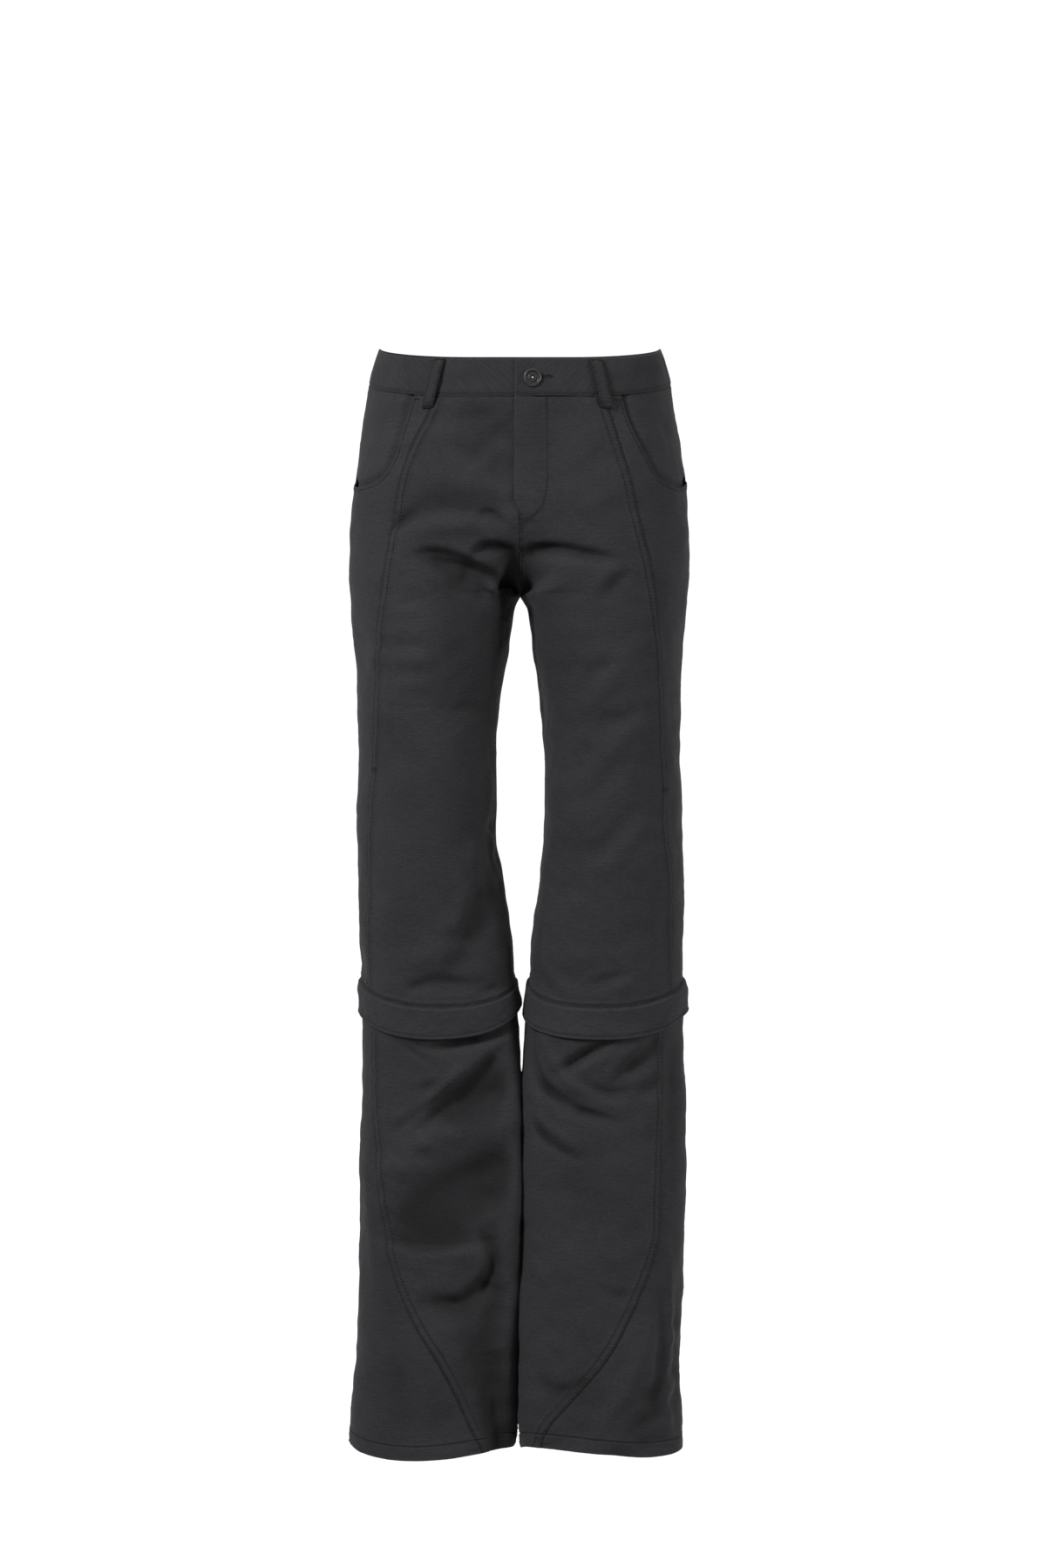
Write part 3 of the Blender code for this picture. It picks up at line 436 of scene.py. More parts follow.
def section(side, turn, z):
    """(distance from the centre, depth) of the level section: four Bezier quarters, joined at the turns."""
    turn, z = np.broadcast_arrays(np.asarray(turn, float), np.asarray(z, float))
    out, crest, front, back, full = (
        read(SECTIONS, name, z) for name in ("out_" + side, "crest", "front", "back", "full")
    )
    above = z >= CROTCH_Z
    inner = np.where(above, 0.0, read(INSEAM, "in_" + side, z))
    inseam_y = read(INSEAM, "y_" + side, z)
    front_y, front_lean = crotch_curve(z, FRONT_CURVE_TOP, front)
    back_y, back_lean = crotch_curve(z, BACK_CURVE_TOP, back)
    front_y = np.where(above, front_y, inseam_y)
    back_y = np.where(above, back_y, inseam_y)
    span = crest - inner
    share = np.clip((FRONT_CURVE_TOP - z) / (FRONT_CURVE_TOP - CROTCH_Z), 0, 1)
    flat = np.where(above, share**2, 1.0) * read(INSEAM, "flat_" + side, z)
    front_handle = np.cos(front_lean) * span + np.sin(front_lean) * (front_y - front)
    front_handle = (ROUND + SQUARE_HANDLE * flat) * front_handle
    back_handle = ROUND * (np.cos(back_lean) * span + np.sin(back_lean) * (back - back_y))
    outer = crest + ROUND * (out - crest)
    quarters = (
        (
            (inner, front_y),
            (inner + front_handle * np.cos(front_lean), front_y - front_handle * np.sin(front_lean)),
            (crest - (full + (SQUARE_FULL - full) * flat) * span, front),
            (crest, front),
        ),
        ((crest, front), (outer, front), (out, SIDE_Y - ROUND * (SIDE_Y - front)), (out, SIDE_Y)),
        ((out, SIDE_Y), (out, SIDE_Y + ROUND * (back - SIDE_Y)), (outer, back), (crest, back)),
        (
            (crest, back),
            (crest - full * span, back),
            (inner + back_handle * np.cos(back_lean), back_y + back_handle * np.sin(back_lean)),
            (inner, back_y),
        ),
    )
    number = np.clip(np.floor(turn), 0, 3)
    points = [arc(quarter, turn - i) for i, quarter in enumerate(quarters)]
    x = np.select([number == i for i in range(4)], [p[0] for p in points])
    y = np.select([number == i for i in range(4)], [p[1] for p in points])
    return x, y


def form(side, turn, z):
    """The bare form: (side * distance, depth, height)."""
    x, y = section(side, turn, z)
    return np.stack([SIDES[side] * x, y, np.broadcast_to(z, x.shape)], axis=-1)


# Steps to either side over which slopes of the form are taken
TURN_STEP = 0.004
Z_STEP = 0.6


def normals(side, turn, z):
    """Unit normals of the form: the cross product of its slopes round and up, pointing out of the cloth."""
    along = form(side, turn + TURN_STEP, z) - form(side, turn - TURN_STEP, z)
    up = form(side, turn, z + Z_STEP) - form(side, turn, z - Z_STEP)
    out = np.cross(along, up) * SIDES[side]
    return out / np.linalg.norm(out, axis=-1, keepdims=True)


def speed(side, turn, z):
    """Millimetres along the section for one turn."""
    apart = form(side, turn + TURN_STEP, z) - form(side, turn - TURN_STEP, z)
    return np.linalg.norm(apart, axis=-1) / (2 * TURN_STEP)


def turn_at(side, distance, z):
    """The turn on the front at which the form is this far from the centre."""
    turns = np.linspace(-0.8, 2, 300)
    distance, z = np.broadcast_arrays(np.asarray(distance, float), np.asarray(z, float))
    found = [np.interp(d, section(side, turns, level)[0], turns) for d, level in zip(distance.flat, z.flat)]
    return np.array(found).reshape(z.shape)


def girdle(side, name, turn):
    """Height of a line round the body or leg: its level, less the drop at the front, plus the rise behind.
    The hem also swings up and down."""
    level, drop, rise = GIRDLES[name]
    y = section(side, turn, level)[1]
    front, back = (read(SECTIONS, column, level) for column in ("front", "back"))
    z = level - drop * np.clip(y / front, 0, 1) + rise * np.clip(y / back, 0, 1)
    return z + read(HEM_WAVE, side, np.asarray(turn, float)) if name == "hem" else z


def princess(side, z, source):
    """The turn of a princess seam at this height."""
    return turn_at(side, read(source, side, z), z)


def on_princess(side, name, source):
    """Height at which a princess seam meets a girdle, found by going from one to the other."""
    z = GIRDLES[name][0]
    for _ in range(8):
        z = float(girdle(side, name, princess(side, z, source)))
    return z


def shifted(side, turn, z, millimetres):
    """The turn that lies this far round the section."""
    return turn + millimetres / speed(side, turn, z)


# Unevenness


def waves(seed, count, shortest, longest):
    """Directions, phases and sizes of a sum of sines whose lengths lie between the two."""
    draw = np.random.default_rng(seed)
    length = np.exp(draw.uniform(math.log(shortest), math.log(longest), count))
    way = draw.normal(size=(count, 3)) * (1.0, 1.0, 1.4)
    way /= np.linalg.norm(way, axis=1, keepdims=True)
    phase = draw.uniform(0, 2 * math.pi, count)
    return way * (2 * math.pi / length)[:, None], phase, (length / longest) ** 0.9


def ripple(points, source):
    """The sum of size * sin(way . point + phase), scaled to about one."""
    way, phase, size = source
    total = np.zeros(points.shape[:-1])
    for w, p, s in zip(way, phase, size):
        total += s * np.sin(points @ w + p)
    return total / math.sqrt((size**2).sum() / 2)


SLACK = waves(3, 14, 45, 150)
CRUMPLE = waves(5, 18, 14, 40)
PUCKER = waves(8, 16, 5, 12)


# Points along a crease, its reach in widths of its flanks, and how far round the side it may come
CREASE_POINTS = 25
CREASE_REACH = 3
CREASE_DEPTH = -30


def crease_height(side, points):
    """Sum of the creases. Across its line each falls as a bell with a width for either flank; along it the
    height rises from a quarter at the ends to one, and wavers."""
    x, y, z = np.abs(points[..., 0]), points[..., 1], points[..., 2]
    total = np.zeros(x.shape)
    waver = ripple(points, CRUMPLE)
    share = np.linspace(0, 1, CREASE_POINTS)
    for number, c in enumerate(Crease(*row) for row in CREASES[side]):
        reach = CREASE_REACH * max(c.up, c.down)
        low, high = min(c.z1, c.z2, c.z3) - reach, max(c.z1, c.z2, c.z3) + reach
        near = (z > low) & (z < high) & (c.face * y > CREASE_DEPTH)
        if not near.any():
            continue
        middle = [2 * b - 0.5 * (a + d) for a, b, d in ((c.x1, c.x2, c.x3), (c.z1, c.z2, c.z3))]
        line = [
            (1 - share) ** 2 * a + 2 * share * (1 - share) * b + share**2 * d
            for a, b, d in ((c.x1, middle[0], c.x3), (c.z1, middle[1], c.z3))
        ]
        from_x, from_z = x[near][:, None] - line[0], z[near][:, None] - line[1]
        way = np.stack([np.gradient(line[0]), np.gradient(line[1])])
        way /= np.hypot(*way)
        gap = np.hypot(from_x, from_z)
        nearest = gap.argmin(1)
        pick = np.arange(len(nearest)), nearest
        along = from_x[pick] * way[0][nearest] + from_z[pick] * way[1][nearest]
        across = from_z[pick] * way[0][nearest] - from_x[pick] * way[1][nearest]
        ended = (nearest == 0) | (nearest == len(share) - 1)
        past = np.where(ended, along, 0.0)
        upper = across * np.sign(line[0][-1] - line[0][0] + 1e-9) > 0
        width = np.where(upper, c.up, c.down)
        at = share[nearest] + np.where(ended, 0.0, along / (len(share) * 4))
        rise = 0.25 + 0.75 * np.sin(math.pi * np.clip(at, 0, 1)) ** 0.8
        value = c.height * bell(across, width) * bell(past, 0.5 * (c.up + c.down)) * rise
        value *= 1 + 0.16 * waver[near] * math.cos(number)
        total[near] += value * ease(0.5 + c.face * y[near] / 40)
    return total


# Depth of the form at the knee, in front and behind
KNEE_FRONT = 68
KNEE_BACK = 62


def calm(y, z):
    """0 at the knee's zip and 1 away from it."""
    level, drop, rise = GIRDLES["knee_seam"]
    above = z - level + drop * np.clip(-y / KNEE_FRONT, 0, 1) - rise * np.clip(y / KNEE_BACK, 0, 1)
    return np.maximum(ease((above - 1) / 14), ease((-above - 20) / 12))


def drape(side, base):
    """Height that the creases and the cloth's slack add at these places on the form."""
    still = calm(base[..., 1], base[..., 2])
    held = ease((-30 - base[..., 2]) / 40)
    # The creases stop short of the waistband and of where the lower legs touch.
    apart = 1 - 0.95 * bell(base[..., 0], 11.0) * ease((-600 - base[..., 2]) / 20)
    apart = apart * ease((-46 - base[..., 2]) / 30)
    shift = (crease_height(side, base) * apart + 0.6 * ripple(base, SLACK) * held) * still
    return shift + 0.28 * ripple(base, CRUMPLE) * (0.3 + 0.7 * still) * held


def cloth(side, turn, z, out=0.0, creased=True):
    """(points, ways out): the form moved out, with its creases and its slack. The way out is the normal, but
    at the centre seams it has no sideways part, so that the two legs' edges stay together."""
    base, out_of = form(side, turn, z), normals(side, turn, z)
    centred = bell(base[..., 0], 12.0) * ease((base[..., 2] - CROTCH_Z + 24) / 24)
    straight = out_of * (0, 1, 1) + np.abs(out_of[..., :1]) * (0, 0, -0.25)
    out_of = out_of + centred[..., None] * (straight - out_of)
    out_of /= np.linalg.norm(out_of, axis=-1, keepdims=True)
    shift = np.zeros(base.shape[:-1]) + out + (drape(side, base) if creased else 0.0)
    return base + out_of * shift[..., None], out_of


# Grids


def spaced(length, step, near=(), far=(), fine=0.7, reach=9.0):
    """Shares from 0 to 1 for a length in mm: near the ends named the steps are fine over their reach."""
    at = np.linspace(0, length, 4000)
    size = np.full_like(at, step)
    for edge in near:
        size = np.minimum(size, fine + (step - fine) * ease((at - edge) / reach - 0.6))
    for edge in far:
        size = np.minimum(size, fine + (step - fine) * ease((length - at - edge) / reach - 0.6))
    count = np.concatenate([[0], np.cumsum(np.diff(at) / size[1:])])
    even = np.linspace(0, count[-1], int(round(count[-1])) + 1)
    return np.interp(even, count, at) / length


def run_along(points):
    """Millimetres from the first point of a line to each of its points."""
    return np.concatenate([[0], np.cumsum(np.linalg.norm(np.diff(points, axis=0), axis=1))])


def columns_at(where, known, values):
    """Each column of the values known at some places, read at others by straight lines."""
    return np.stack([np.interp(where, known, column) for column in values.T], axis=-1)


def edge(points, shares):
    """A dense edge of (turn, z), read at these shares."""
    return columns_at(shares, np.linspace(0, 1, len(points)), points)


def patch(first, last, top, bottom, down, across):
    """(turn, z) of a grid between four dense edges, as a Coons patch: the ruled surfaces less the corners."""
    v, w = down[:, None, None], across[None, :, None]
    first, last = edge(first, down), edge(last, down)
    top, bottom = edge(top, across), edge(bottom, across)
    ruled = (1 - w) * first[:, None] + w * last[:, None] + (1 - v) * top[None] + v * bottom[None]
    corners = (1 - v) * ((1 - w) * first[0] + w * last[0]) + v * ((1 - w) * first[-1] + w * last[-1])
    grid = ruled - corners
    return grid[..., 0], grid[..., 1]


def from_line(points, line):
    """Distance of each point from a line of points, and millimetres along it."""
    flat = points.reshape(-1, 3)
    way = np.gradient(line, axis=0)
    way /= np.linalg.norm(way, axis=1, keepdims=True)
    run = run_along(line)
    distance, along = np.empty(len(flat)), np.empty(len(flat))
    for start in range(0, len(flat), 4000):
        some = flat[start : start + 4000]
        squares = (some**2).sum(1)[:, None] - 2 * some @ line.T + (line**2).sum(1)
        near = squares.argmin(1)
        gap = some - line[near]
        on = (gap * way[near]).sum(1)
        inside = (near > 0) & (near < len(line) - 1)
        off = gap - np.where(inside, on, 0.0)[:, None] * way[near]
        distance[start : start + 4000] = np.linalg.norm(off, axis=1)
        along[start : start + 4000] = run[near] + on
    return distance.reshape(points.shape[:-1]), along.reshape(points.shape[:-1])


# A seam as one panel meets it: its line as (turn, z) along the edge, how far the panel stands up beside it
# and over what width, and the stitch rows that dimple it.
Seam = namedtuple("Seam", "line lift band rows roll", defaults=(0.0, 9.0, (), 0.6))


def seam_relief(side, base, seams):
    """(height, painted shade) that the seams add: a raised band that ends in a soft step, a rolled edge at
    the seam, a furrow along each row of stitches, and puckers that fade away from it. Seam and furrows are
    darkened by painted shade."""
    total, painted_shade = np.zeros(base.shape[:-1]), np.zeros(base.shape[:-1])
    for s in seams:
        distance, _ = from_line(base, form(side, *s.line.T))
        total += s.lift * (1 - ease((distance - s.band) / 2.0))
        total -= s.roll * bell(distance, SEAM_WIDTH)
        painted_shade = np.maximum(painted_shade, SEAM_PAINTED_SHADE * min(1.5 * s.roll, 1.0) * bell(distance, SEAM_WIDTH))
        for row in s.rows:
            total -= ROW_DEPTH * bell(distance - row, ROW_WIDTH)
            painted_shade = np.maximum(painted_shade, ROW_PAINTED_SHADE * bell(distance - row, ROW_PAINTED_SHADE_WIDTH))
        pucker = 0.16 if s.rows else 0.096
        total += pucker * ripple(base, PUCKER) * bell(distance, PUCKER_REACH)
    return total, painted_shade


def skin(side, turn, z, out=0.0, seams=()):
    """(points, normals) of a panel's outer face."""
    points, out_of = cloth(side, turn, z, out)
    if seams:
        points = points + out_of * seam_relief(side, form(side, turn, z), seams)[0][..., None]
    return points, out_of


# Meshes


def add_mesh(name, points, faces, material, attributes=(), smooth=True):
    """A mesh in metres from points in mm, with named values for each point."""
    mesh = bpy.data.meshes.new(name)
    mesh.from_pydata((points * MM).tolist(), [], faces.tolist() if hasattr(faces, "tolist") else faces)
    for label, values in attributes:
        kind = "FLOAT_VECTOR" if values.ndim == 2 else "FLOAT"
        layer = mesh.attributes.new(label, kind, "POINT")
        layer.data.foreach_set("vector" if values.ndim == 2 else "value", values.astype(np.float32).ravel())
    mesh.materials.append(material)
    if smooth:
        mesh.shade_smooth()
    thing = bpy.data.objects.new(name, mesh)
    bpy.context.scene.collection.objects.link(thing)
    return thing


FAR_OFF = 1e9
# How much painted shade darkens a sheet's inner face
INNER_PAINTED_SHADE = 0.3


def shell(name, outer, out_of, thick, material, mirrored, round_edges, painted_shade, ring):
    """A closed sheet of cloth between its outer face and the same face moved in. At the edges named (top,
    bottom, first, last) the two faces meet in a half round, as a fold of cloth does. Its points hold their
    place in the weave, how much lighter they are near those edges (partly wear, partly a painted highlight)
    and how much painted shade darkens them."""
    rows, columns = outer.shape[:2]
    run_down, run_across = np.zeros((rows, columns)), np.zeros((rows, columns))
    run_down[1:] = np.linalg.norm(np.diff(outer, axis=0), axis=-1).cumsum(0)
    run_across[:, 1:] = np.linalg.norm(np.diff(outer, axis=1), axis=-1).cumsum(1)
    runs = (run_down, run_down[-1] - run_down, run_across, run_across[:, -1:] - run_across)
    distance = np.full((rows, columns), FAR_OFF)
    for key, run in zip("tbfl", runs):
        if key in round_edges:
            distance = np.minimum(distance, run)
    half = 0.5 * thick
    past = np.clip(1 - distance / half, 0, 1)
    dip = 0.94 * half * (1 - np.sqrt(1 - past**2))
    face = outer - out_of * dip[..., None]
    inner = outer - out_of * (thick - dip)[..., None]
    number = np.arange(rows * columns).reshape(rows, columns)
    if ring:
        number = np.concatenate([number, number[:, :1]], axis=1)
    count = rows * columns

    def quads(*corners):
        """Faces from the numbers of their four corners."""
        return np.stack([numbers.ravel() for numbers in corners], axis=-1)

    def strip(line):
        """The faces of an edge, from the outer face to the inner one."""
        return quads(line[1:], line[:-1], line[:-1] + count, line[1:] + count)

    grid = quads(number[:-1, :-1], number[1:, :-1], number[1:, 1:], number[:-1, 1:])
    faces = [grid, grid[:, ::-1] + count, strip(number[0][::-1]), strip(number[-1])]
    if not ring:
        faces += [strip(number[:, 0]), strip(number[:, -1][::-1])]
    faces = np.concatenate(faces)
    if mirrored:
        faces = faces[:, ::-1]
    points = np.concatenate([face.reshape(-1, 3), inner.reshape(-1, 3)])
    weave = np.stack([run_across, outer[..., 2], np.zeros_like(run_across)], axis=-1).reshape(-1, 3)
    cloth_map = np.concatenate([weave, weave + (3.7, 1.3, 0)]) * MM
    # Near the rounded edges the colour is lighter: partly wear, partly a painted highlight
    wear_and_highlight = np.concatenate([bell(distance, 1.2).ravel(), bell(distance, 1.0).ravel()])
    painted_shade = np.zeros((rows, columns)) if painted_shade is None else painted_shade
    # Painted shade: the outer face takes what it is given, the inner face an even amount
    painted_shade = np.concatenate([painted_shade.ravel(), np.full(count, INNER_PAINTED_SHADE)])
    return add_mesh(name, points, faces, material, [("weave", cloth_map), ("wear_and_highlight", wear_and_highlight), ("painted_shade", painted_shade)])


def settle(piece, slot, *nodes):
    """The piece rides with the trousers and stands for these solids, which it hides. The slot is not used."""
    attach(piece, "root")
    if nodes:
        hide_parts(*nodes)


def tube_faces(rings, around):
    """(numbers, faces) of a tube: rings of points, each joined to the next."""
    number = np.arange(rings * around).reshape(rings, around)
    following = np.roll(number, -1, axis=1)
    faces = np.stack([number[:-1], number[1:], following[1:], following[:-1]], axis=-1)
    return number, faces.reshape(-1, 4)


# Stitches: rows are (points, normals) along the cloth.
STITCHES = {}


def keep_stitches(group, first, last, out, radius):
    """Keeps stitches as rows of first end, last end, way out and radius."""
    rows = np.concatenate([first, last, out, np.full((len(first), 1), radius)], axis=1)
    STITCHES.setdefault(group, []).append(rows)


def sew(group, points, out_of, start=0.5):
    """Keeps a row of stitches at an even pitch along a line on the cloth."""
    run = run_along(points)
    if run[-1] < STITCH_PITCH:
        return
    middle = np.arange(STITCH_PITCH * start, run[-1] - STITCH_PITCH * 0.3, STITCH_PITCH)
    first, last = (
        columns_at(np.clip(middle + shift * STITCH_LENGTH, 0, run[-1]), run, points) for shift in (-0.5, 0.5)
    )
    keep_stitches(group, first, last, columns_at(middle, run, out_of), STITCH_RADIUS)


def tack(group, centre, way, out, width, count, length):
    """A bar tack: short stitches side by side across a bar."""
    way, out = (v / np.linalg.norm(v) for v in (way, out))
    cross = np.cross(out, way)
    middle = centre + out * 0.1 + way * np.linspace(-0.5, 0.5, count)[:, None] * width
    end = cross * length * 0.5
    keep_stitches(group, middle - end, middle + end, np.repeat(out[None], count, 0), TACK_RADIUS)


def stitch_mesh(name, rows, material):
    """Each stitch is a five-sided tube: its middle rises by its radius and its ends sink in."""
    rows = np.concatenate(rows)
    first, last, out, radius = rows[:, 0:3], rows[:, 3:6], rows[:, 6:9], rows[:, 9]
    out = out / np.linalg.norm(out, axis=1, keepdims=True)
    along = last - first
    length = np.linalg.norm(along, axis=1, keepdims=True)
    cross = np.cross(out, along / length)
    cross /= np.linalg.norm(cross, axis=1, keepdims=True)
    stations = np.array([0.0, 0.2, 0.8, 1.0])
    rise = np.array([-0.9, 0.35, 0.35, -0.9])
    swell = np.array([0.55, 1.0, 1.0, 0.55])
    angle = np.arange(5) * (2 * math.pi / 5) + math.pi / 2
    ring = np.cos(angle)[None, None, :, None] * cross[:, None, None]
    ring = ring + 0.85 * np.sin(angle)[None, None, :, None] * out[:, None, None]
    centre = first[:, None] + along[:, None] * stations[None, :, None]
    centre = centre + out[:, None] * (rise[None] * radius[:, None])[..., None]
    points = centre[:, :, None] + ring * (swell[None] * radius[:, None])[:, :, None, None]
    a = np.arange(20).reshape(4, 5)
    b = np.roll(a, -1, axis=1)
    tube = np.stack([a[:-1], b[:-1], b[1:], a[1:]], axis=-1).reshape(-1, 4)
    starts = (np.arange(len(rows)) * 20)[:, None]
    quads = (tube[None] + starts[..., None]).reshape(-1, 4)
    caps = np.concatenate([a[0][::-1] + starts, a[3] + starts])
    return add_mesh(name, points.reshape(-1, 3), quads.tolist() + caps.tolist(), material)


# Materials


def maths(tree, operation, a, b=None, clamp=False):
    """One sum of two values, each a number or another node's result."""
    node = tree.nodes.new("ShaderNodeMath")
    node.operation = operation
    node.use_clamp = clamp
    for socket, value in zip(node.inputs, (a, b)):
        if hasattr(value, "links"):
            tree.links.new(value, socket)
        elif value is not None:
            socket.default_value = value
    return node.outputs[0]


def weighted(tree, offset, *terms):
    """The offset plus each value times its weight."""
    total = offset
    for value, weight in terms:
        total = maths(tree, "ADD", maths(tree, "MULTIPLY", value, weight), total)
    return total


def mapped(tree, vector, **settings):
    """The vector scaled, moved or turned."""
    node = tree.nodes.new("ShaderNodeMapping")
    for name, value in settings.items():
        node.inputs[name].default_value = value
    tree.links.new(vector, node.inputs["Vector"])
    return node.outputs["Vector"]


def stretched_noise(tree, vector, scale, detail, rough, seed):
    """Noise on a mapped vector: scale holds the repeats in a metre in each direction."""
    noise = tree.nodes.new("ShaderNodeTexNoise")
    for name, value in (("Scale", 1.0), ("Detail", detail), ("Roughness", rough)):
        noise.inputs[name].default_value = value
    place = mapped(tree, vector, Scale=scale, Location=(seed, seed * 0.7, 0.0))
    tree.links.new(place, noise.inputs["Vector"])
    return noise.outputs["Fac"]


def wave(tree, vector, repeats, distortion, detail_scale):
    """Bands that run across the first direction, a little uneven."""
    bands = tree.nodes.new("ShaderNodeTexWave")
    bands.wave_type = "BANDS"
    bands.bands_direction = "X"
    settings = (("Scale", 1.0), ("Distortion", distortion), ("Detail", 2.0), ("Detail Scale", detail_scale))
    for name, value in settings:
        bands.inputs[name].default_value = value
    place = mapped(tree, vector, Scale=(repeats, repeats, 1.0))
    tree.links.new(place, bands.inputs["Vector"])
    return bands.outputs["Fac"]


def new_weave(name):
    """A shader node group from a place on the cloth to the weave's shade and height, and its two ends."""
    group = bpy.data.node_groups.new(name, "ShaderNodeTree")
    group.interface.new_socket("Vector", in_out="INPUT", socket_type="NodeSocketVector")
    for label, way in (("Rib", "INPUT"), ("Cloud", "INPUT"), ("Shade", "OUTPUT"), ("Height", "OUTPUT")):
        group.interface.new_socket(label, in_out=way, socket_type="NodeSocketFloat")
    return group, group.nodes.new("NodeGroupInput"), group.nodes.new("NodeGroupOutput")


def finish_weave(group, source, result, ribs, cloud, height):
    """The shade is the ribs times Rib plus the clouding times Cloud."""
    clouds = maths(group, "MULTIPLY", maths(group, "SUBTRACT", cloud, 0.5), source.outputs["Cloud"])
    shade = maths(group, "ADD", maths(group, "MULTIPLY", ribs, source.outputs["Rib"]), clouds)
    group.links.new(shade, result.inputs["Shade"])
    group.links.new(height, result.inputs["Height"])
    return group


def make_slub_group():
    """Uneven weft: fine ribs that thicken and thin, longer slub streaks, and soft clouding."""
    group, source, result = new_weave("slub_weave")
    vector = source.outputs["Vector"]
    fine = stretched_noise(group, vector, (260.0, 1500.0, 1.0), 2.0, 0.6, 0.0)
    streak = stretched_noise(group, vector, (95.0, 900.0, 1.0), 3.0, 0.6, 4.1)
    long_streak = stretched_noise(group, vector, (26.0, 420.0, 1.0), 2.0, 0.5, 9.3)
    grain = stretched_noise(group, vector, (900.0, 900.0, 1.0), 1.0, 0.5, 2.2)
    cloud = stretched_noise(group, vector, (14.0, 18.0, 1.0), 3.0, 0.55, 6.4)
    warp = wave(group, vector, 560.0, 1.6, 1.3)
    ribs = weighted(group, -0.98, (fine, 0.7), (streak, 0.6), (long_streak, 0.16), (grain, 0.5))
    height = weighted(group, 0.0, (fine, 1.0), (streak, 0.8), (warp, 0.18))
    return finish_weave(group, source, result, ribs, cloud, height)


def make_twill_group():
    """Diagonal twill lines over the same uneven yarn."""
    group, source, result = new_weave("twill_weave")
    vector = mapped(group, source.outputs["Vector"], Rotation=(0.0, 0.0, math.radians(38)))
    lines = wave(group, vector, 175.0, 2.2, 0.8)
    streak = stretched_noise(group, vector, (620.0, 60.0, 1.0), 3.0, 0.6, 3.1)
    grain = stretched_noise(group, vector, (1000.0, 1000.0, 1.0), 1.0, 0.5, 5.2)
    cloud = stretched_noise(group, vector, (22.0, 22.0, 1.0), 3.0, 0.55, 1.4)
    ribs = weighted(group, -0.66, (lines, 0.22), (streak, 0.8), (grain, 0.3))
    return finish_weave(group, source, result, ribs, cloud, maths(group, "ADD", lines, streak))


def new_material(name):
    """A new material, its node tree and its main shader."""
    material = bpy.data.materials.new(name)
    material.use_nodes = True
    return material, material.node_tree, material.node_tree.nodes["Principled BSDF"]


def surface(tree, shader, shades, level, rough, height, strength, distance):
    """The level mixes two shades, and a height raises the surface in fine bumps."""
    mix = tree.nodes.new("ShaderNodeMix")
    mix.data_type = "RGBA"
    for name, shade in zip("AB", shades):
        mix.inputs[name].default_value = (*shade, 1.0)
    tree.links.new(level, mix.inputs["Factor"])
    tree.links.new(mix.outputs["Result"], shader.inputs["Base Color"])
    tree.links.new(rough, shader.inputs["Roughness"])
    bumps = tree.nodes.new("ShaderNodeBump")
    bumps.inputs["Strength"].default_value = strength
    bumps.inputs["Distance"].default_value = distance
    tree.links.new(height, bumps.inputs["Height"])
    tree.links.new(bumps.outputs["Normal"], shader.inputs["Normal"])


def kept_value(tree, name, output="Fac"):
    """A value that the mesh holds for each of its points."""
    node = tree.nodes.new("ShaderNodeAttribute")
    node.attribute_name = name
    return node.outputs[output]


def cloth_material(name, weave_group, shades, rib, cloud, sheen):
    """Cloth: its weave mixes two shades and raises its surface; near folded edges it is a little lighter,
    partly from wear and partly as a painted highlight, and the painted shade kept on the mesh darkens it.
    """
    material, tree, shader = new_material(name)
    pattern = tree.nodes.new("ShaderNodeGroup")
    pattern.node_tree = weave_group
    pattern.inputs["Rib"].default_value = rib
    pattern.inputs["Cloud"].default_value = cloud
    tree.links.new(kept_value(tree, "weave", "Vector"), pattern.inputs["Vector"])
    shade = pattern.outputs["Shade"]
    # Folded edges are lighter: partly wear, partly a painted highlight
    wear_and_highlight_lift = maths(tree, "MULTIPLY", kept_value(tree, "wear_and_highlight"), 0.16)
    level = maths(tree, "ADD", maths(tree, "ADD", shade, 0.5), wear_and_highlight_lift, clamp=True)
    # The painted shade kept on the mesh darkens the colour
    lit = maths(tree, "SUBTRACT", 1.0, maths(tree, "MULTIPLY", kept_value(tree, "painted_shade"), 0.9), clamp=True)
    level = maths(tree, "MULTIPLY", level, lit)
    rough = maths(tree, "ADD", maths(tree, "MULTIPLY", shade, 0.12), 0.8, clamp=True)
    surface(tree, shader, shades, level, rough, pattern.outputs["Height"], 0.35, 0.00035)
    shader.inputs["Specular IOR Level"].default_value = 0.12
    shader.inputs["Sheen Weight"].default_value = sheen
    shader.inputs["Sheen Roughness"].default_value = 0.5
    shader.inputs["Sheen Tint"].default_value = (0.82, 0.84, 0.9, 1.0)
    return material


def plain_material(name, shades, roughness, repeats, metallic=0.0, coat=0.0):
    """A hard or thread finish: two shades mixed by noise on the object's own coordinates, with fine bumps."""
    material, tree, shader = new_material(name)
    place = tree.nodes.new("ShaderNodeTexCoord").outputs["Object"]
    noise = stretched_noise(tree, place, (repeats,) * 3, 3.0, 0.6, 1.7)
    rough = maths(tree, "ADD", maths(tree, "MULTIPLY", noise, 0.18), roughness - 0.09, clamp=True)
    surface(tree, shader, shades, noise, rough, noise, 0.2, 0.0001)
    shader.inputs["Metallic"].default_value = metallic
    shader.inputs["Coat Weight"].default_value = coat
    return material


SLUB = make_slub_group()
TWILL = make_twill_group()
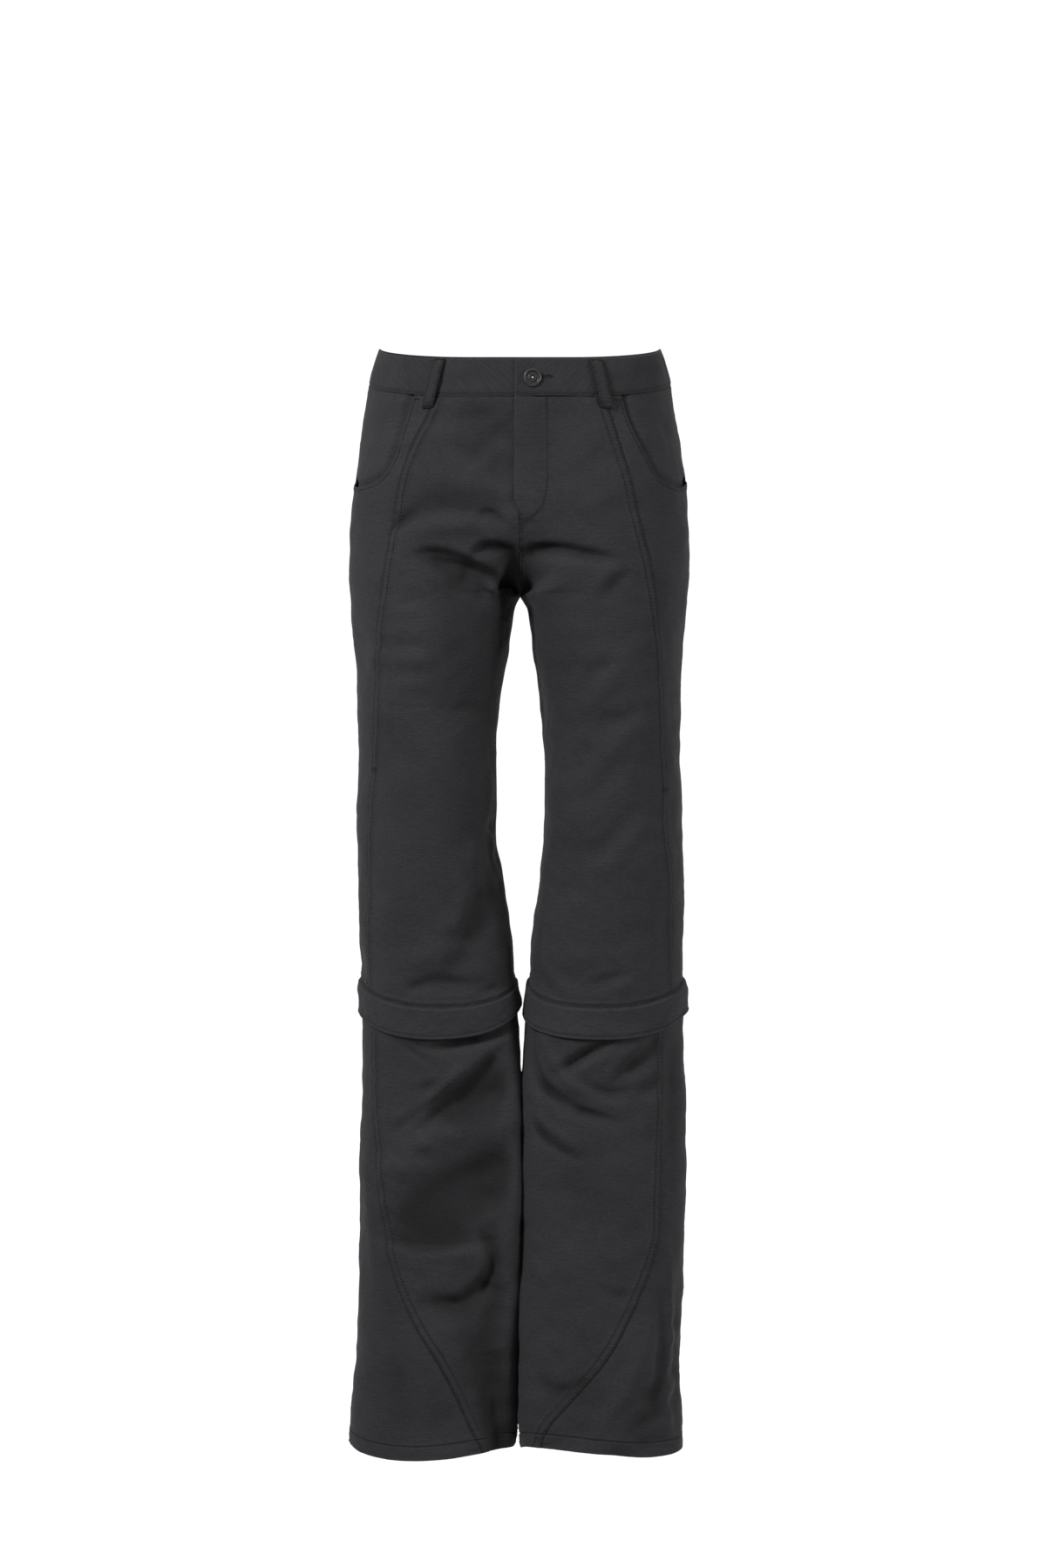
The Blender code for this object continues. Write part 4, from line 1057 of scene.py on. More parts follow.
# The finish of each slot that holds cloth
FINISHES = {
    "cloth": cloth_material(
        "charcoal_slub_cloth", SLUB, ((0.007, 0.007, 0.0075), (0.062, 0.062, 0.067)), 0.85, 0.25, 0.04
    ),
    "band_cloth": cloth_material(
        "charcoal_twill_cloth", TWILL, ((0.008, 0.008, 0.0086), (0.056, 0.056, 0.0605)), 0.9, 0.35, 0.05
    ),
    "zip_tape": cloth_material(
        "zip_tape_weave", TWILL, ((0.005, 0.005, 0.0055), (0.016, 0.016, 0.017)), 0.5, 0.2, 0.05
    ),
}
THREAD = plain_material("polyester_thread", ((0.005, 0.005, 0.0055), (0.014, 0.014, 0.015)), 0.55, 1500)
SHELL = plain_material(
    "black_button_shell", ((0.020, 0.020, 0.021), (0.050, 0.050, 0.053)), 0.3, 260, coat=0.4
)
STEEL = plain_material("tack_steel", ((0.55, 0.55, 0.57), (0.78, 0.78, 0.8)), 0.3, 900, metallic=1.0)
TEETH = plain_material("zip_teeth_nylon", ((0.012, 0.012, 0.013), (0.03, 0.03, 0.032)), 0.4, 700)
# The slit's near-black colour is a painted shadow: it stands where the cut would only show shade
SLIT_SHADOW = plain_material("buttonhole_slit_shadow", ((0.004, 0.004, 0.004), (0.009, 0.009, 0.01)), 0.9, 700)


# Seam lines, as dense (turn, z)


def dense(turn_of, top, bottom):
    """A line down the cloth from top to bottom whose turn is a function of height."""
    z = np.linspace(top, bottom, DENSE)
    return np.stack([np.broadcast_to(turn_of(z), z.shape), z], axis=-1)


def level_line(side, name, start, end, offset=0.0, count=DENSE):
    """A line along a girdle from one turn to another, moved up by offset."""
    turn = np.linspace(start, end, count)
    return np.stack([turn, girdle(side, name, turn) + offset], axis=-1)


def scoop_line(side):
    """(turn, z) along the pocket's mouth, by a smooth curve through its points."""
    points = np.array(SCOOP[side])
    distance, z = points[:-1, 0], points[:-1, 1]
    turn = np.append(turn_at(side, distance, z), 2.0)
    z = np.append(z, points[-1, 1])
    for _ in range(8):
        z[0] = float(girdle(side, "waist_seam", turn[0]))
        turn[0] = float(turn_at(side, distance[0], z[0]))
    # one turn is about 95 mm here
    run = run_along(np.stack([turn * 95, z], axis=-1))
    curve = {"run": run, "turn": turn, "z": z}
    even = np.linspace(0, run[-1], 160)
    return np.stack([read(curve, "turn", even), read(curve, "z", even)], axis=-1)


def moved(side, line, millimetres):
    """A line moved round the section."""
    return np.stack([shifted(side, *line.T, millimetres), line[:, 1]], axis=-1)


def beside(side, line, millimetres):
    """A line moved square to itself on the cloth, to the side of rising turn where millimetres is above 0."""
    pace = speed(side, *line.T)
    run, down = np.gradient(line[:, 0]) * pace, np.gradient(line[:, 1])
    length = np.hypot(run, down)
    sign = -np.sign(down.sum()) if abs(down.sum()) > abs(run.sum()) else 1.0
    turn = line[:, 0] - sign * millimetres * down / length / pace
    z = line[:, 1] + sign * millimetres * run / length
    return np.stack([turn, z], axis=-1)


def sew_line(group, side, line, seams, out=0.0):
    """Sews a row on the panel's outer face along a line of (turn, z)."""
    sew(group, *skin(side, *line.T, out, seams))


SHEETS = []


def make_sheet(name, points, out_of, thick, slot, mirrored, round_edges, painted_shade=None, ring=False):
    """A shell of cloth that stands for the solid of its name."""
    piece = shell(name + "_cloth", points, out_of, thick, FINISHES[slot], mirrored, round_edges, painted_shade, ring)
    settle(piece, slot, name)
    SHEETS.append(piece)


# Steps of each panel's grid, across and down
GRID_STEPS = {
    "front_centre": (2.2, 1.9),
    "front_side": (2.6, 2.5),
    "pocket_facing": (2.0, 2.0),
    "back": (4.0, 4.0),
    "lower_front": (2.3, 2.3),
    "lower_side": (3.2, 3.2),
    "lower_back": (4.0, 4.0),
}


def panel(kind, side, bounds, seams, round_edges, out=0.0, thick=WALL, near=(0.0,), low=(0.0,), extra=None):
    """One panel of cloth: a patch between four lines (first, last, top and bottom) whose steps are fine at
    its edges, with its seams. It stands out by a value or a function of the place."""
    first, last, top, bottom = bounds
    steps = GRID_STEPS[kind]
    length = {edge_name: run_along(form(side, *line.T))[-1] for edge_name, line in zip("fltb", bounds)}
    across = spaced(0.5 * (length["b"] + length["t"]), steps[0], near, (0.0,))
    down = spaced(length["f"], steps[1], (0.0,), low)
    turn, z = patch(first, last, top, bottom, down, across)
    base = form(side, turn, z)
    draped = drape(side, base)
    lift = out(turn, z) if callable(out) else out
    outer, out_of = cloth(side, turn, z, lift + draped, creased=False)
    height, painted_shade = seam_relief(side, base, seams)
    # Painted shade in the creases' hollows, darker in deeper ones
    painted_shade = np.maximum(painted_shade, HOLLOW_PAINTED_SHADE * ease(-draped / 9))
    if extra is not None:
        height = height + extra(turn, z)
    outer = outer + out_of * height[..., None]
    make_sheet(kind + "_" + side, outer, out_of, thick, "cloth", side == "right", round_edges, painted_shade)


def fly_lift(x, z):
    """How far the lap of the fly stands out, over the shield and the other front."""
    return FLY_LIFT * ease((FLY_WIDTH - x) / 16) * ease((z - FLY_END + FLY_FADE) / FLY_FADE)


def lap_share(x):
    """1 where the wearer's left end of the waistband lies over the right one, and 0 away from there."""
    return ease((UNDERLAP + LAP_FADE - x) / LAP_FADE)


def lap_out(side, turn, z):
    """The lift of the front panel: none on the wearer's right. On the left it is that of the fly, and just
    under the waistband that of the band's own lap, so that the two meet."""
    if side == "right":
        return np.zeros_like(z)
    x = section(side, turn, z)[0]
    return np.maximum(fly_lift(x, z), LAP_STEP_BELOW * lap_share(x) * ease((z + 90) / 50))


def upper_seams(side):
    """The seams and edges of one upper leg, as lines."""
    girdles = ("waist_seam", "knee_seam")

    def upright(turn):
        """A line straight down the leg."""
        return dense(lambda z: turn, *(float(girdle(side, name, turn)) for name in girdles))

    ends = (on_princess(side, name, PRINCESS) for name in girdles)
    return {
        "princess": dense(lambda z: princess(side, z, PRINCESS), *ends),
        "front": upright(0.0),
        "side": upright(2.0),
        "back": upright(4.0),
        "waist": level_line(side, "waist_seam", 0.0, 4.0, count=700),
        "knee": level_line(side, "knee_seam", 0.0, 4.0, count=600),
        "mouth": scoop_line(side),
    }


def rows_to_curve(line, curve_top):
    """An inner edge read evenly along the curve of the crotch, so that its rows don't bunch."""
    z = line[:, 1]
    bend = ease((curve_top - z) / 30) * ease((z - CROTCH_Z + 60) / 60)
    run = np.append(0, np.cumsum(np.abs(np.diff(z)) * (1 + 0.8 * bend)[1:]))
    heights = np.interp(np.linspace(0, run[-1], len(z)), run, z)
    return np.stack([np.interp(-heights, -z, line[:, 0]), heights], axis=-1)


def tucked(side, first, last):
    """The four edges of an upper panel, which runs on a little past the waist and knee seams."""
    top = level_line(side, "waist_seam", first[0, 0], last[0, 0], TOP_TUCK)
    bottom = level_line(side, "knee_seam", first[-1, 0], last[-1, 0], -LOW_TUCK)
    return first, last, top, bottom


def make_upper(side):
    """Front centre, front side, pocket facing and back of one upper leg, and their stitches."""
    lines = upper_seams(side)
    group = "stitches_upper_" + side
    waist = Seam(lines["waist"], roll=0.5)
    knee = Seam(lines["knee"], lift=0.35, band=4.5, rows=(KNEE_ROW,), roll=0.5)
    front_seams = make_front_centre(side, lines, group, waist, knee)
    knee_row = level_line(side, "knee_seam", 0.0, 4.0, KNEE_ROW, 900)
    sew_line(group, side, knee_row, [knee])
    make_front_side(side, lines, group, waist, knee)
    make_facing(side, lines, waist)
    make_back(side, lines, group, waist, knee)
    # two bar tacks between the twin rows of the thigh's princess seam
    height = THIGH_TACK_Z[side]
    for z in (np.array([height]), np.array([height - 3.0])):
        turn = shifted(side, princess(side, z, PRINCESS), z, -4.2)
        point, out_of = skin(side, turn, z, seams=front_seams)
        ahead, _ = skin(side, turn + 0.01, z, seams=front_seams)
        tack(group, point[0], (ahead - point)[0], out_of[0], 6.0, 11, 1.9)


def make_front_centre(side, lines, group, waist, knee):
    """The panel from the centre front to the princess seam. On the wearer's left it laps over the fly."""
    laps = side == "left"
    centre, princess_line = lines["front"], lines["princess"]
    below_fly = centre[(centre[:, 1] < FLY_END - 2) & (centre[:, 1] > CROTCH_Z + 2)]
    seams = [
        waist,
        knee,
        Seam(below_fly, lift=0.35, band=4.0, rows=(FLY_ROW,)) if laps else Seam(below_fly, band=4.0),
        Seam(centre[centre[:, 1] < CROTCH_Z], roll=0.2),
        Seam(princess_line, lift=0.8, rows=TWIN_ROWS),
    ]
    lap = LAP * ease((centre[:, 1] - FLY_END) / FLY_FADE) * laps
    first = np.stack([turn_at(side, -lap - SEAM_TUCK, centre[:, 1]), centre[:, 1]], axis=-1)
    first[centre[:, 1] < CROTCH_Z + 18, 0] = -0.004
    first = rows_to_curve(first, FRONT_CURVE_TOP)
    bounds = tucked(side, first, moved(side, princess_line, SEAM_TUCK))
    if laps:
        fly_row = j_line()
        seams.append(Seam(fly_row, rows=(0.0,), roll=0.0))
    near = (0.0, LAP + 26.0) if laps else (0.0,)

    def out(turn, z):
        """How far this panel stands out."""
        return lap_out(side, turn, z)

    panel("front_centre", side, bounds, seams, "f", out, near=near)
    rows = []
    for offset in TWIN_ROWS:
        line = beside(side, princess_line, -offset)
        rows.append(line[line[:, 1] < princess_line[0, 1] - 1])
    if laps:
        rows += [beside(side, below_fly[below_fly[:, 1] > CROTCH_Z + 8], FLY_ROW), fly_row]
    for line in rows:
        sew_line(group, side, line, seams, out(*line.T))
    return seams


def make_front_side(side, lines, group, waist, knee):
    """The panel from the princess seam to the side seam, cut away at the pocket's mouth."""
    princess_line, mouth = lines["princess"], lines["mouth"]
    under = lines["side"][lines["side"][:, 1] < mouth[-1, 1]]
    outer_edge = np.concatenate([mouth, moved(side, under, SEAM_TUCK)])
    run = run_along(form(side, *outer_edge.T))
    # Rows that end on the mouth are those of the princess seam down to a little above the crotch.
    mouth_share = 0.82 * (princess_line[0, 1] - CROTCH_Z) / (princess_line[0, 1] - princess_line[-1, 1])
    warp = np.interp(np.linspace(0, 1, DENSE), [0, mouth_share, 1], [0, run[len(mouth) - 1], run[-1]])
    outer_edge = columns_at(warp, run, outer_edge)
    bounds = tucked(side, moved(side, princess_line, -SEAM_TUCK), outer_edge)
    seams = [
        waist,
        knee,
        Seam(princess_line, roll=0.3),
        Seam(mouth, lift=0.35, band=6.0, rows=(MOUTH_ROW,), roll=0.0),
        Seam(under, roll=0.25),
    ]

    def gape(turn, z):
        """The mouth's lip stands away where it meets the side."""
        distance, along = from_line(form(side, turn, z), form(side, *mouth.T))
        length = along.max()
        return 0.9 * bell(distance, 6.0) * bell(along - 0.86 * length, 0.14 * length)

    panel("front_side", side, bounds, seams, "l", extra=gape)
    line = beside(side, mouth, -MOUTH_ROW)
    line = line[(line[:, 1] < mouth[0, 1] - 1) & (line[:, 0] < 1.97)]
    sew_line(group, side, line, seams, gape(*line.T))
    # a bar tack near either end of the mouth
    line = beside(side, mouth, -MOUTH_ROW - 1.5)
    for at in (4, -6):
        pair = line[at : at + 2]
        points, out_of = skin(side, *pair.T, gape(*pair.T), seams)
        tack(group, points[0], np.cross(out_of[0], points[1] - points[0]), out_of[0], 4.5, 9, 1.6)


def make_back(side, lines, group, waist, knee):
    """The panel from the side seam to the centre back. The wearer's left one is sewn down over the right."""
    laps = side == "left"
    last = rows_to_curve(np.stack([np.full(DENSE, 4.0), lines["back"][:, 1]], axis=-1), BACK_CURVE_TOP)
    centre_back = lines["back"][lines["back"][:, 1] > CROTCH_Z]
    seams = [
        waist,
        knee,
        Seam(lines["side"], lift=0.3, band=7.0, roll=0.3),
        Seam(centre_back, lift=0.5, rows=TWIN_ROWS) if laps else Seam(centre_back),
    ]
    bounds = tucked(side, moved(side, lines["side"], -SEAM_TUCK), last)
    panel("back", side, bounds, seams, "")
    if laps:
        line = centre_back[centre_back[:, 1] > CROTCH_Z + 14]
        for offset in TWIN_ROWS:
            sew_line(group, side, beside(side, line, -offset), seams)


def j_line():
    """The fly's curved row, seen from the front: straight down and round to the seam."""
    knots = table(
        "run x z",
        (0, 24.6, -55),
        (1, 24.8, -90),
        (2, 25.2, -118),
        (3, 24.6, -141),
        (4, 20.0, -157.5),
        (5, 9.5, -168.5),
        (6, 0.6, -172),
    )
    x, z = (read(knots, name, np.linspace(0, 6, 120)) for name in "xz")
    return np.stack([turn_at("left", x, z), z], axis=-1)


def make_facing(side, lines, waist):
    """The facing fills the scoop and passes under the pocket's mouth."""
    mouth = lines["mouth"]
    along = np.linspace(0, 1, len(mouth))
    tuck = mouth.copy()
    tuck[:, 0] = shifted(side, *mouth.T, -FACING_TUCK * 0.55 * (1 - along))
    tuck[1:, 1] -= FACING_TUCK * along[1:] ** 0.7
    top_z = float(girdle(side, "waist_seam", 2.0))
    last_z = np.linspace(top_z + TOP_TUCK, tuck[-1, 1], len(mouth))
    last = moved(side, np.stack([np.full_like(last_z, 2.0), last_z], axis=-1), SEAM_TUCK)
    tuck[0, 1] += TOP_TUCK
    top = level_line(side, "waist_seam", tuck[0, 0], last[0, 0], TOP_TUCK)
    top[0] = tuck[0]
    bottom = np.linspace(tuck[-1], last[-1], DENSE)
    line = form(side, *mouth.T)
    sorted_mouth = mouth[np.argsort(mouth[:, 0])]

    def sink(turn, z):
        """The facing lies behind the front side panel, and comes out again away from the mouth."""
        distance, _ = from_line(form(side, turn, z), line)
        inside = z > np.interp(turn, *sorted_mouth.T)
        return -(WALL + FACING_DIP) * (1 - ease((np.where(inside, distance, 0.0) - 1.5) / FACING_STEP))

    seams = [waist, Seam(lines["side"], roll=0.25)]
    panel("pocket_facing", side, (tuck, last, top, bottom), seams, "", sink, TAPE_WALL)


def band_patch(side, start, end, columns, rows):
    """(turn, z) of the waistband, its rows finer at both edges."""
    turn = np.broadcast_to(np.linspace(start, end, columns + 1), (rows + 1, columns + 1))
    even = np.linspace(0, 1, rows + 1)[:, None]
    share = 0.6 * (0.5 - 0.5 * np.cos(math.pi * even)) + 0.4 * even
    high, low = (girdle(side, name, turn[0]) for name in ("waist_top", "waist_seam"))
    return turn, high + (low - high) * share


def band_relief(side, turn, z):
    """The waistband bulges a little between its edges, dips at its row of stitches and ripples."""
    high, low = girdle(side, "waist_top", turn), girdle(side, "waist_seam", turn)
    share = np.clip((high - z) / (high - low), 0, 1)
    row = bell(z - low - WAIST_ROW, ROW_WIDTH)
    base = form(side, turn, z)
    loose = 0.3 * ripple(base, CRUMPLE) + 0.12 * ripple(base, PUCKER) * bell(z - low - 2, 6.0)
    return 0.5 * np.sin(math.pi * share) - 0.3 * row + loose * np.sin(math.pi * np.clip(share, 0.12, 0.88))


def band_painted_shade(side, turn, z):
    """Painted shade on the waistband along its row of stitches and at its seam."""
    low = girdle(side, "waist_seam", turn)
    return np.maximum(0.65 * bell(z - low - WAIST_ROW, ROW_PAINTED_SHADE_WIDTH), SEAM_PAINTED_SHADE * bell(z - low, 0.7))


def on_waistband(side, turn, z, extra=0.0):
    """(points, normals) on the waistband's outer face. The wearer's left end is lifted over the right one."""
    lap = (side == "left") * (turn < 2) * LAP_STEP * lap_share(section(side, turn, z)[0])
    return cloth(side, turn, z, WAISTBAND_OUT + lap + band_relief(side, turn, z) + extra, creased=False)


def sew_waist(side, start, end):
    """The row of stitches just above the waistband's lower edge."""
    row = level_line(side, "waist_seam", start, end, WAIST_ROW)
    sew("stitches_waist", *on_waistband(side, *row.T))


def make_waistband():
    """Three lengths of the band; the wearer's left end laps over the right."""
    for side, end, row_end in (("right", -UNDERLAP, 0.8), ("left", -LAP, -3.0)):
        at = band_patch(side, float(turn_at(side, end, -30.0)), 2.0, columns=110, rows=22)
        name, mirrored, painted_shade = "waistband_front_" + side, side == "right", band_painted_shade(side, *at)
        make_sheet(name, *on_waistband(side, *at), BAND_WALL, "band_cloth", mirrored, "tbf", painted_shade)
        sew_waist(side, float(turn_at(side, row_end, -50.0)), 2.0)
    # the lap's end is sewn too
    high, low = (float(girdle("left", name, 0.0)) for name in ("waist_top", "waist_seam"))
    z = np.linspace(high - 3, low + 3, 30)
    sew("stitches_waist", *on_waistband("left", turn_at("left", np.full_like(z, -LAP + 2.2), z), z))
    halves = []
    for side in SIDES:
        at = band_patch(side, 2.0, 4.0, columns=70, rows=18)
        halves.append(np.concatenate([*on_waistband(side, *at), band_painted_shade(side, *at)[..., None]], axis=-1))
        sew_waist(side, 2.0, 4.0)
    back = np.concatenate([halves[0][:, :-1], halves[1][:, ::-1]], axis=1)
    points, out_of, painted_shade = back[..., :3], back[..., 3:6], back[..., 6]
    make_sheet("waistband_back", points, out_of, BAND_WALL, "band_cloth", True, "tb", painted_shade)


def make_belt_loop(name, side, head, foot):
    """A strip with turned edges, sewn down at both ends, standing off the waistband between them."""
    top_z = float(girdle(side, "waist_top", head))
    z = top_z - np.linspace(0.6, LOOP_LENGTH, 40)
    middle = head + (foot - head) * (top_z - z) / LOOP_LENGTH
    reach = np.linspace(-0.5, 0.5, 13) * LOOP_WIDTH
    turn = middle[:, None] + reach[None] / speed(side, middle, z)[:, None]
    z = np.broadcast_to(z[:, None], turn.shape)
    share, aside = (top_z - z) / LOOP_LENGTH, np.abs(reach)
    stand = LOOP_STAND * ease(share / 0.22) * ease((1 - share) / 0.14)
    crown = 0.35 * (1 - (aside / (LOOP_WIDTH / 2)) ** 4) - 0.22 * bell(aside - LOOP_ROW, 0.7)
    lift = WAISTBAND_OUT + 0.65 + LOOP_WALL + stand + crown[None]
    lift = lift + 0.12 * ripple(form(side, turn, z), PUCKER)
    points, out_of = cloth(side, turn, z, lift, creased=False)
    # Painted shade along the loop's rows of stitches and at its turned edges
    painted_shade = 0.7 * bell(aside - LOOP_ROW, 0.8) + 0.8 * bell(aside - LOOP_WIDTH / 2, 0.6)
    painted_shade = np.broadcast_to(painted_shade, z.shape)
    make_sheet(name, points, out_of, LOOP_WALL + 0.3, "band_cloth", side == "right", "tbfl", painted_shade)
    for column in (2, 10):
        sew("stitches_waist", points[2:-2, column], out_of[2:-2, column], start=0.8)
    for row in (1, -3):
        way = points[row, 8] - points[row, 4]
        tack("stitches_waist", points[row, 6], way, out_of[row, 6], 9.2, 15, 2.0)


def make_belt_loops():
    """Two loops in front and two behind, and one at the centre back."""
    for side, places in LOOP_PLACES.items():
        make_belt_loop("belt_loop_front_" + side, side, *(float(turn_at(side, x, -45.0)) for x in places))
        make_belt_loop("belt_loop_back_" + side, side, *LOOP_TURNS_BACK)
    make_belt_loop("belt_loop_back_centre", "left", 4.0, 4.0)


def lathe(name, profile, centre, material, steps=64):
    """A turned piece facing -Y: each profile point (radius, height out) carried round the axis."""
    r, h = np.array(profile).T[..., None]
    angle = np.linspace(0, 2 * math.pi, steps, endpoint=False)
    points = np.stack([r * np.cos(angle), np.broadcast_to(-h, (len(r), steps)), r * np.sin(angle)], axis=-1)
    number, faces = tube_faces(len(r), steps)
    caps = [number[0].tolist(), number[-1][::-1].tolist()]
    return add_mesh(name, (points + centre).reshape(-1, 3), faces.tolist() + caps, material)


def rounded(profile, radius=0.22):
    """A profile whose corners are cut by short curves."""
    points = [np.array(p, float) for p in profile]
    made = [points[0]]
    for before, at, after in zip(points[:-2], points[1:-1], points[2:]):
        a, b = before - at, after - at
        size = min(radius, 0.45 * np.linalg.norm(a), 0.45 * np.linalg.norm(b))
        start, end = at + a / np.linalg.norm(a) * size, at + b / np.linalg.norm(b) * size
        for t in np.linspace(0, 1, 4):
            made.append((1 - t) ** 2 * start + 2 * t * (1 - t) * at + t * t * end)
    return made + [points[-1]]


# Half sections of the button and of its tack's head: radius and height out
BUTTON_PROFILE = (
    (0.05, 1.0), (2.0, 1.0), (2.5, 2.35), (3.5, 2.35), (4.1, 1.2), (5.5, 1.2), (6.1, 2.15), (6.6, 2.95),
    (7.6, 3.05), (8.4, 2.4), (BUTTON_RADIUS, 1.6), (BUTTON_RADIUS, 1.0), (7.9, 0.3), (0.05, 0.05),
)
TACK_PROFILE = ((0.02, 2.75), (0.6, 2.7), (1.0, 2.45), (1.2, 2.1), (1.2, 1.75), (0.02, 1.7))


def make_button():
    """A shank button: a raised rim, a sunk ring, a raised hub with a metal tack in its middle."""
    turn = turn_at("left", [BUTTON_X], [BUTTON_Z])
    seat = cloth("left", turn, np.array([BUTTON_Z]), WAISTBAND_OUT + LAP_STEP + 0.5, creased=False)[0][0]
    settle(lathe("button_shell", rounded(BUTTON_PROFILE), seat, SHELL), "button", "button")
    pin = lathe("button_tack_head", rounded(TACK_PROFILE, 0.3), seat + (0, -0.15, 0), STEEL, 32)
    settle(pin, "tack", "button_tack")
    return seat


def make_buttonhole(seat):
    """A keyhole slit with purl stitches round it, in the lap to the wearer's left of the button. The slit is
    a near-black plug: a painted shadow.
    """
    share = np.linspace(0, 2 * math.pi, 90, endpoint=False)
    half_length, half_width, eye = 10.5, 0.75, 1.7
    x = np.cos(share) * half_length
    z = np.sin(share) * (half_width + (eye - half_width) * ease((x - 5.5) / 3.0))
    height = BUTTON_Z + 1.4 + z
    turn = turn_at("left", seat[0] + 8.6 + x, height)
    inner, out_of = on_waistband("left", turn, height, 0.15)
    middle = inner.mean(0)
    outward = inner - middle
    outward /= np.linalg.norm(outward, axis=1, keepdims=True)
    on_side = np.abs(x) < half_length - 1
    outward[:, 2] = np.where(on_side, np.sign(z), outward[:, 2])
    outward[:, 0] = np.where(on_side, 0.0, outward[:, 0])
    keep_stitches("stitches_waist", inner, inner + outward * 1.5, out_of, TACK_RADIUS)
    points = np.concatenate([inner * 0.98 + middle * 0.02, inner - out_of * 1.2, [middle + out_of[0] * 0.05]])
    count = len(inner)
    a = np.arange(count)
    b = np.roll(a, -1)
    lid = np.stack([a, b, np.full(count, 2 * count)], axis=-1)[:, ::-1]
    wall = np.stack([a, a + count, b + count, b], axis=-1)[:, ::-1]
    faces = lid.tolist() + wall.tolist() + [(a + count).tolist()]
    settle(add_mesh("buttonhole_slit_shadow", points, faces, SLIT_SHADOW), "band_cloth")


def make_fly_shield():
    """The strip behind the two fronts."""
    z = np.linspace(float(girdle("right", "waist_seam", 0.0)), FLY_END + FLY_FADE, 46)
    distance, z = np.meshgrid(np.linspace(15, -15, 15), z)
    turn = turn_at("right", distance, z)
    base = form("right", turn, z)
    low = np.minimum(drape("right", base), drape("left", base))
    points, out_of = cloth("right", turn, z, low - WALL - 0.5, creased=False)
    make_sheet("fly_shield", points, out_of, TAPE_WALL, "cloth", False, "tbfl")


def make_knee(side):
    """The band over the zip, the zip's tape and its teeth."""
    left, mirrored = side == "left", side == "right"
    turn = np.linspace(0, 4, 180, endpoint=False)
    share = spaced(KNEE_BAND_DEPTH, 1.6, (0.0,), (0.0,), 0.5, 4.0)[:, None]
    top, low = girdle(side, "knee_seam", turn) + 0.4, girdle(side, "knee_hem", turn)
    around = np.minimum(turn, 4 - turn)
    low = low + (3.5 if left else 10.5) * bell(around, 0.55)
    z = top + (low - top) * share
    grid = np.broadcast_to(turn, z.shape)
    base, depth = form(side, grid, z), share * KNEE_BAND_DEPTH
    # The band starts under the cloth of the thigh, rolls over and stands off the zip.
    clear = np.where(share < 0.2, -0.9 + 1.9 * ease(share / 0.1), BAND_OUT) + 0.35 * share
    stand = clear + BAND_WALL - 0.35 * bell(depth - KNEE_BAND_ROW, ROW_WIDTH)
    loose = 0.35 * ripple(base, CRUMPLE) * share + 0.12 * ripple(base, PUCKER)
    waver = 0.8 * ripple(base, SLACK) * ease(share * 1.3 - 0.3)
    flare = (1.0 if left else 1.6) * bell(grid - 0.22, 0.25) * ease(share * 1.5 - 0.5)
    flare = flare + (2.6 if left else 1.6) * bell(around - 2.0, 0.16) * ease(share * 2.5)
    points, out_of = cloth(side, grid, z, stand + loose * ease(share * 6) + waver + flare, creased=False)
    # Painted shade along the band's row of stitches and where its top rolls under the thigh's cloth
    painted_shade = np.maximum(0.45 * bell(depth - KNEE_BAND_ROW, ROW_WIDTH), 0.5 * bell(depth, 0.9))
    painted_shade = np.broadcast_to(painted_shade, z.shape)
    make_sheet("knee_band_" + side, points, out_of, BAND_WALL, "cloth", mirrored, "b", painted_shade, ring=True)
    z = girdle(side, "knee_seam", turn) + TAPE_RISE - TAPE_DEPTH * np.linspace(0, 1, 9)[:, None]
    points, out_of = cloth(side, np.broadcast_to(turn, z.shape), z, -WALL - 1.1, creased=False)
    make_sheet("zip_tape_" + side, points, out_of, TAPE_WALL, "zip_tape", mirrored, "tb", ring=True)
    chain = level_line(side, "knee_seam", 0.0, 4.0, -CHAIN_DROP, 1200)
    make_teeth("zip_teeth_" + side, *cloth(side, *chain.T, -WALL - 0.9, creased=False))


def make_teeth(name, points, out_of):
    """Two rows of coil teeth that mesh: each tooth is a bar with sloping ends, set across the chain."""
    run = run_along(points)
    at = np.arange(0, run[-1] - TOOTH_PITCH * 0.5, TOOTH_PITCH / 2)
    centre, out = (columns_at(at, run, source) for source in (points, out_of))
    way = np.gradient(centre, axis=0)
    way /= np.linalg.norm(way, axis=1, keepdims=True)
    cross = np.cross(out, way)
    shift = np.where(np.arange(len(at)) % 2, 1.0, -1.0)[:, None]
    corners = np.array([(a, b, c) for c in (-0.2, 0.9) for b in (-1, 1) for a in (-1, 1)], float)
    local = corners * np.where(corners[:, 2:] > 0, (0.36, 1.35, 1.0), (0.5, 1.6, 1.0))
    block = (
        centre[:, None]
        + way[:, None] * local[None, :, :1]
        + cross[:, None] * (local[None, :, 1:2] + 0.95 * shift[:, None])
        + out[:, None] * local[None, :, 2:]
    )
    box = np.array([(0, 2, 3, 1), (4, 5, 7, 6), (0, 1, 5, 4), (2, 6, 7, 3), (0, 4, 6, 2), (1, 3, 7, 5)])
    faces = (box[None] + (np.arange(len(at)) * 8)[:, None, None]).reshape(-1, 4)
    if np.cross(way[0], cross[0]) @ out[0] <= 0:
        faces = faces[:, ::-1]
    settle(add_mesh(name, block.reshape(-1, 3), faces, TEETH, smooth=False), "zip_tape")


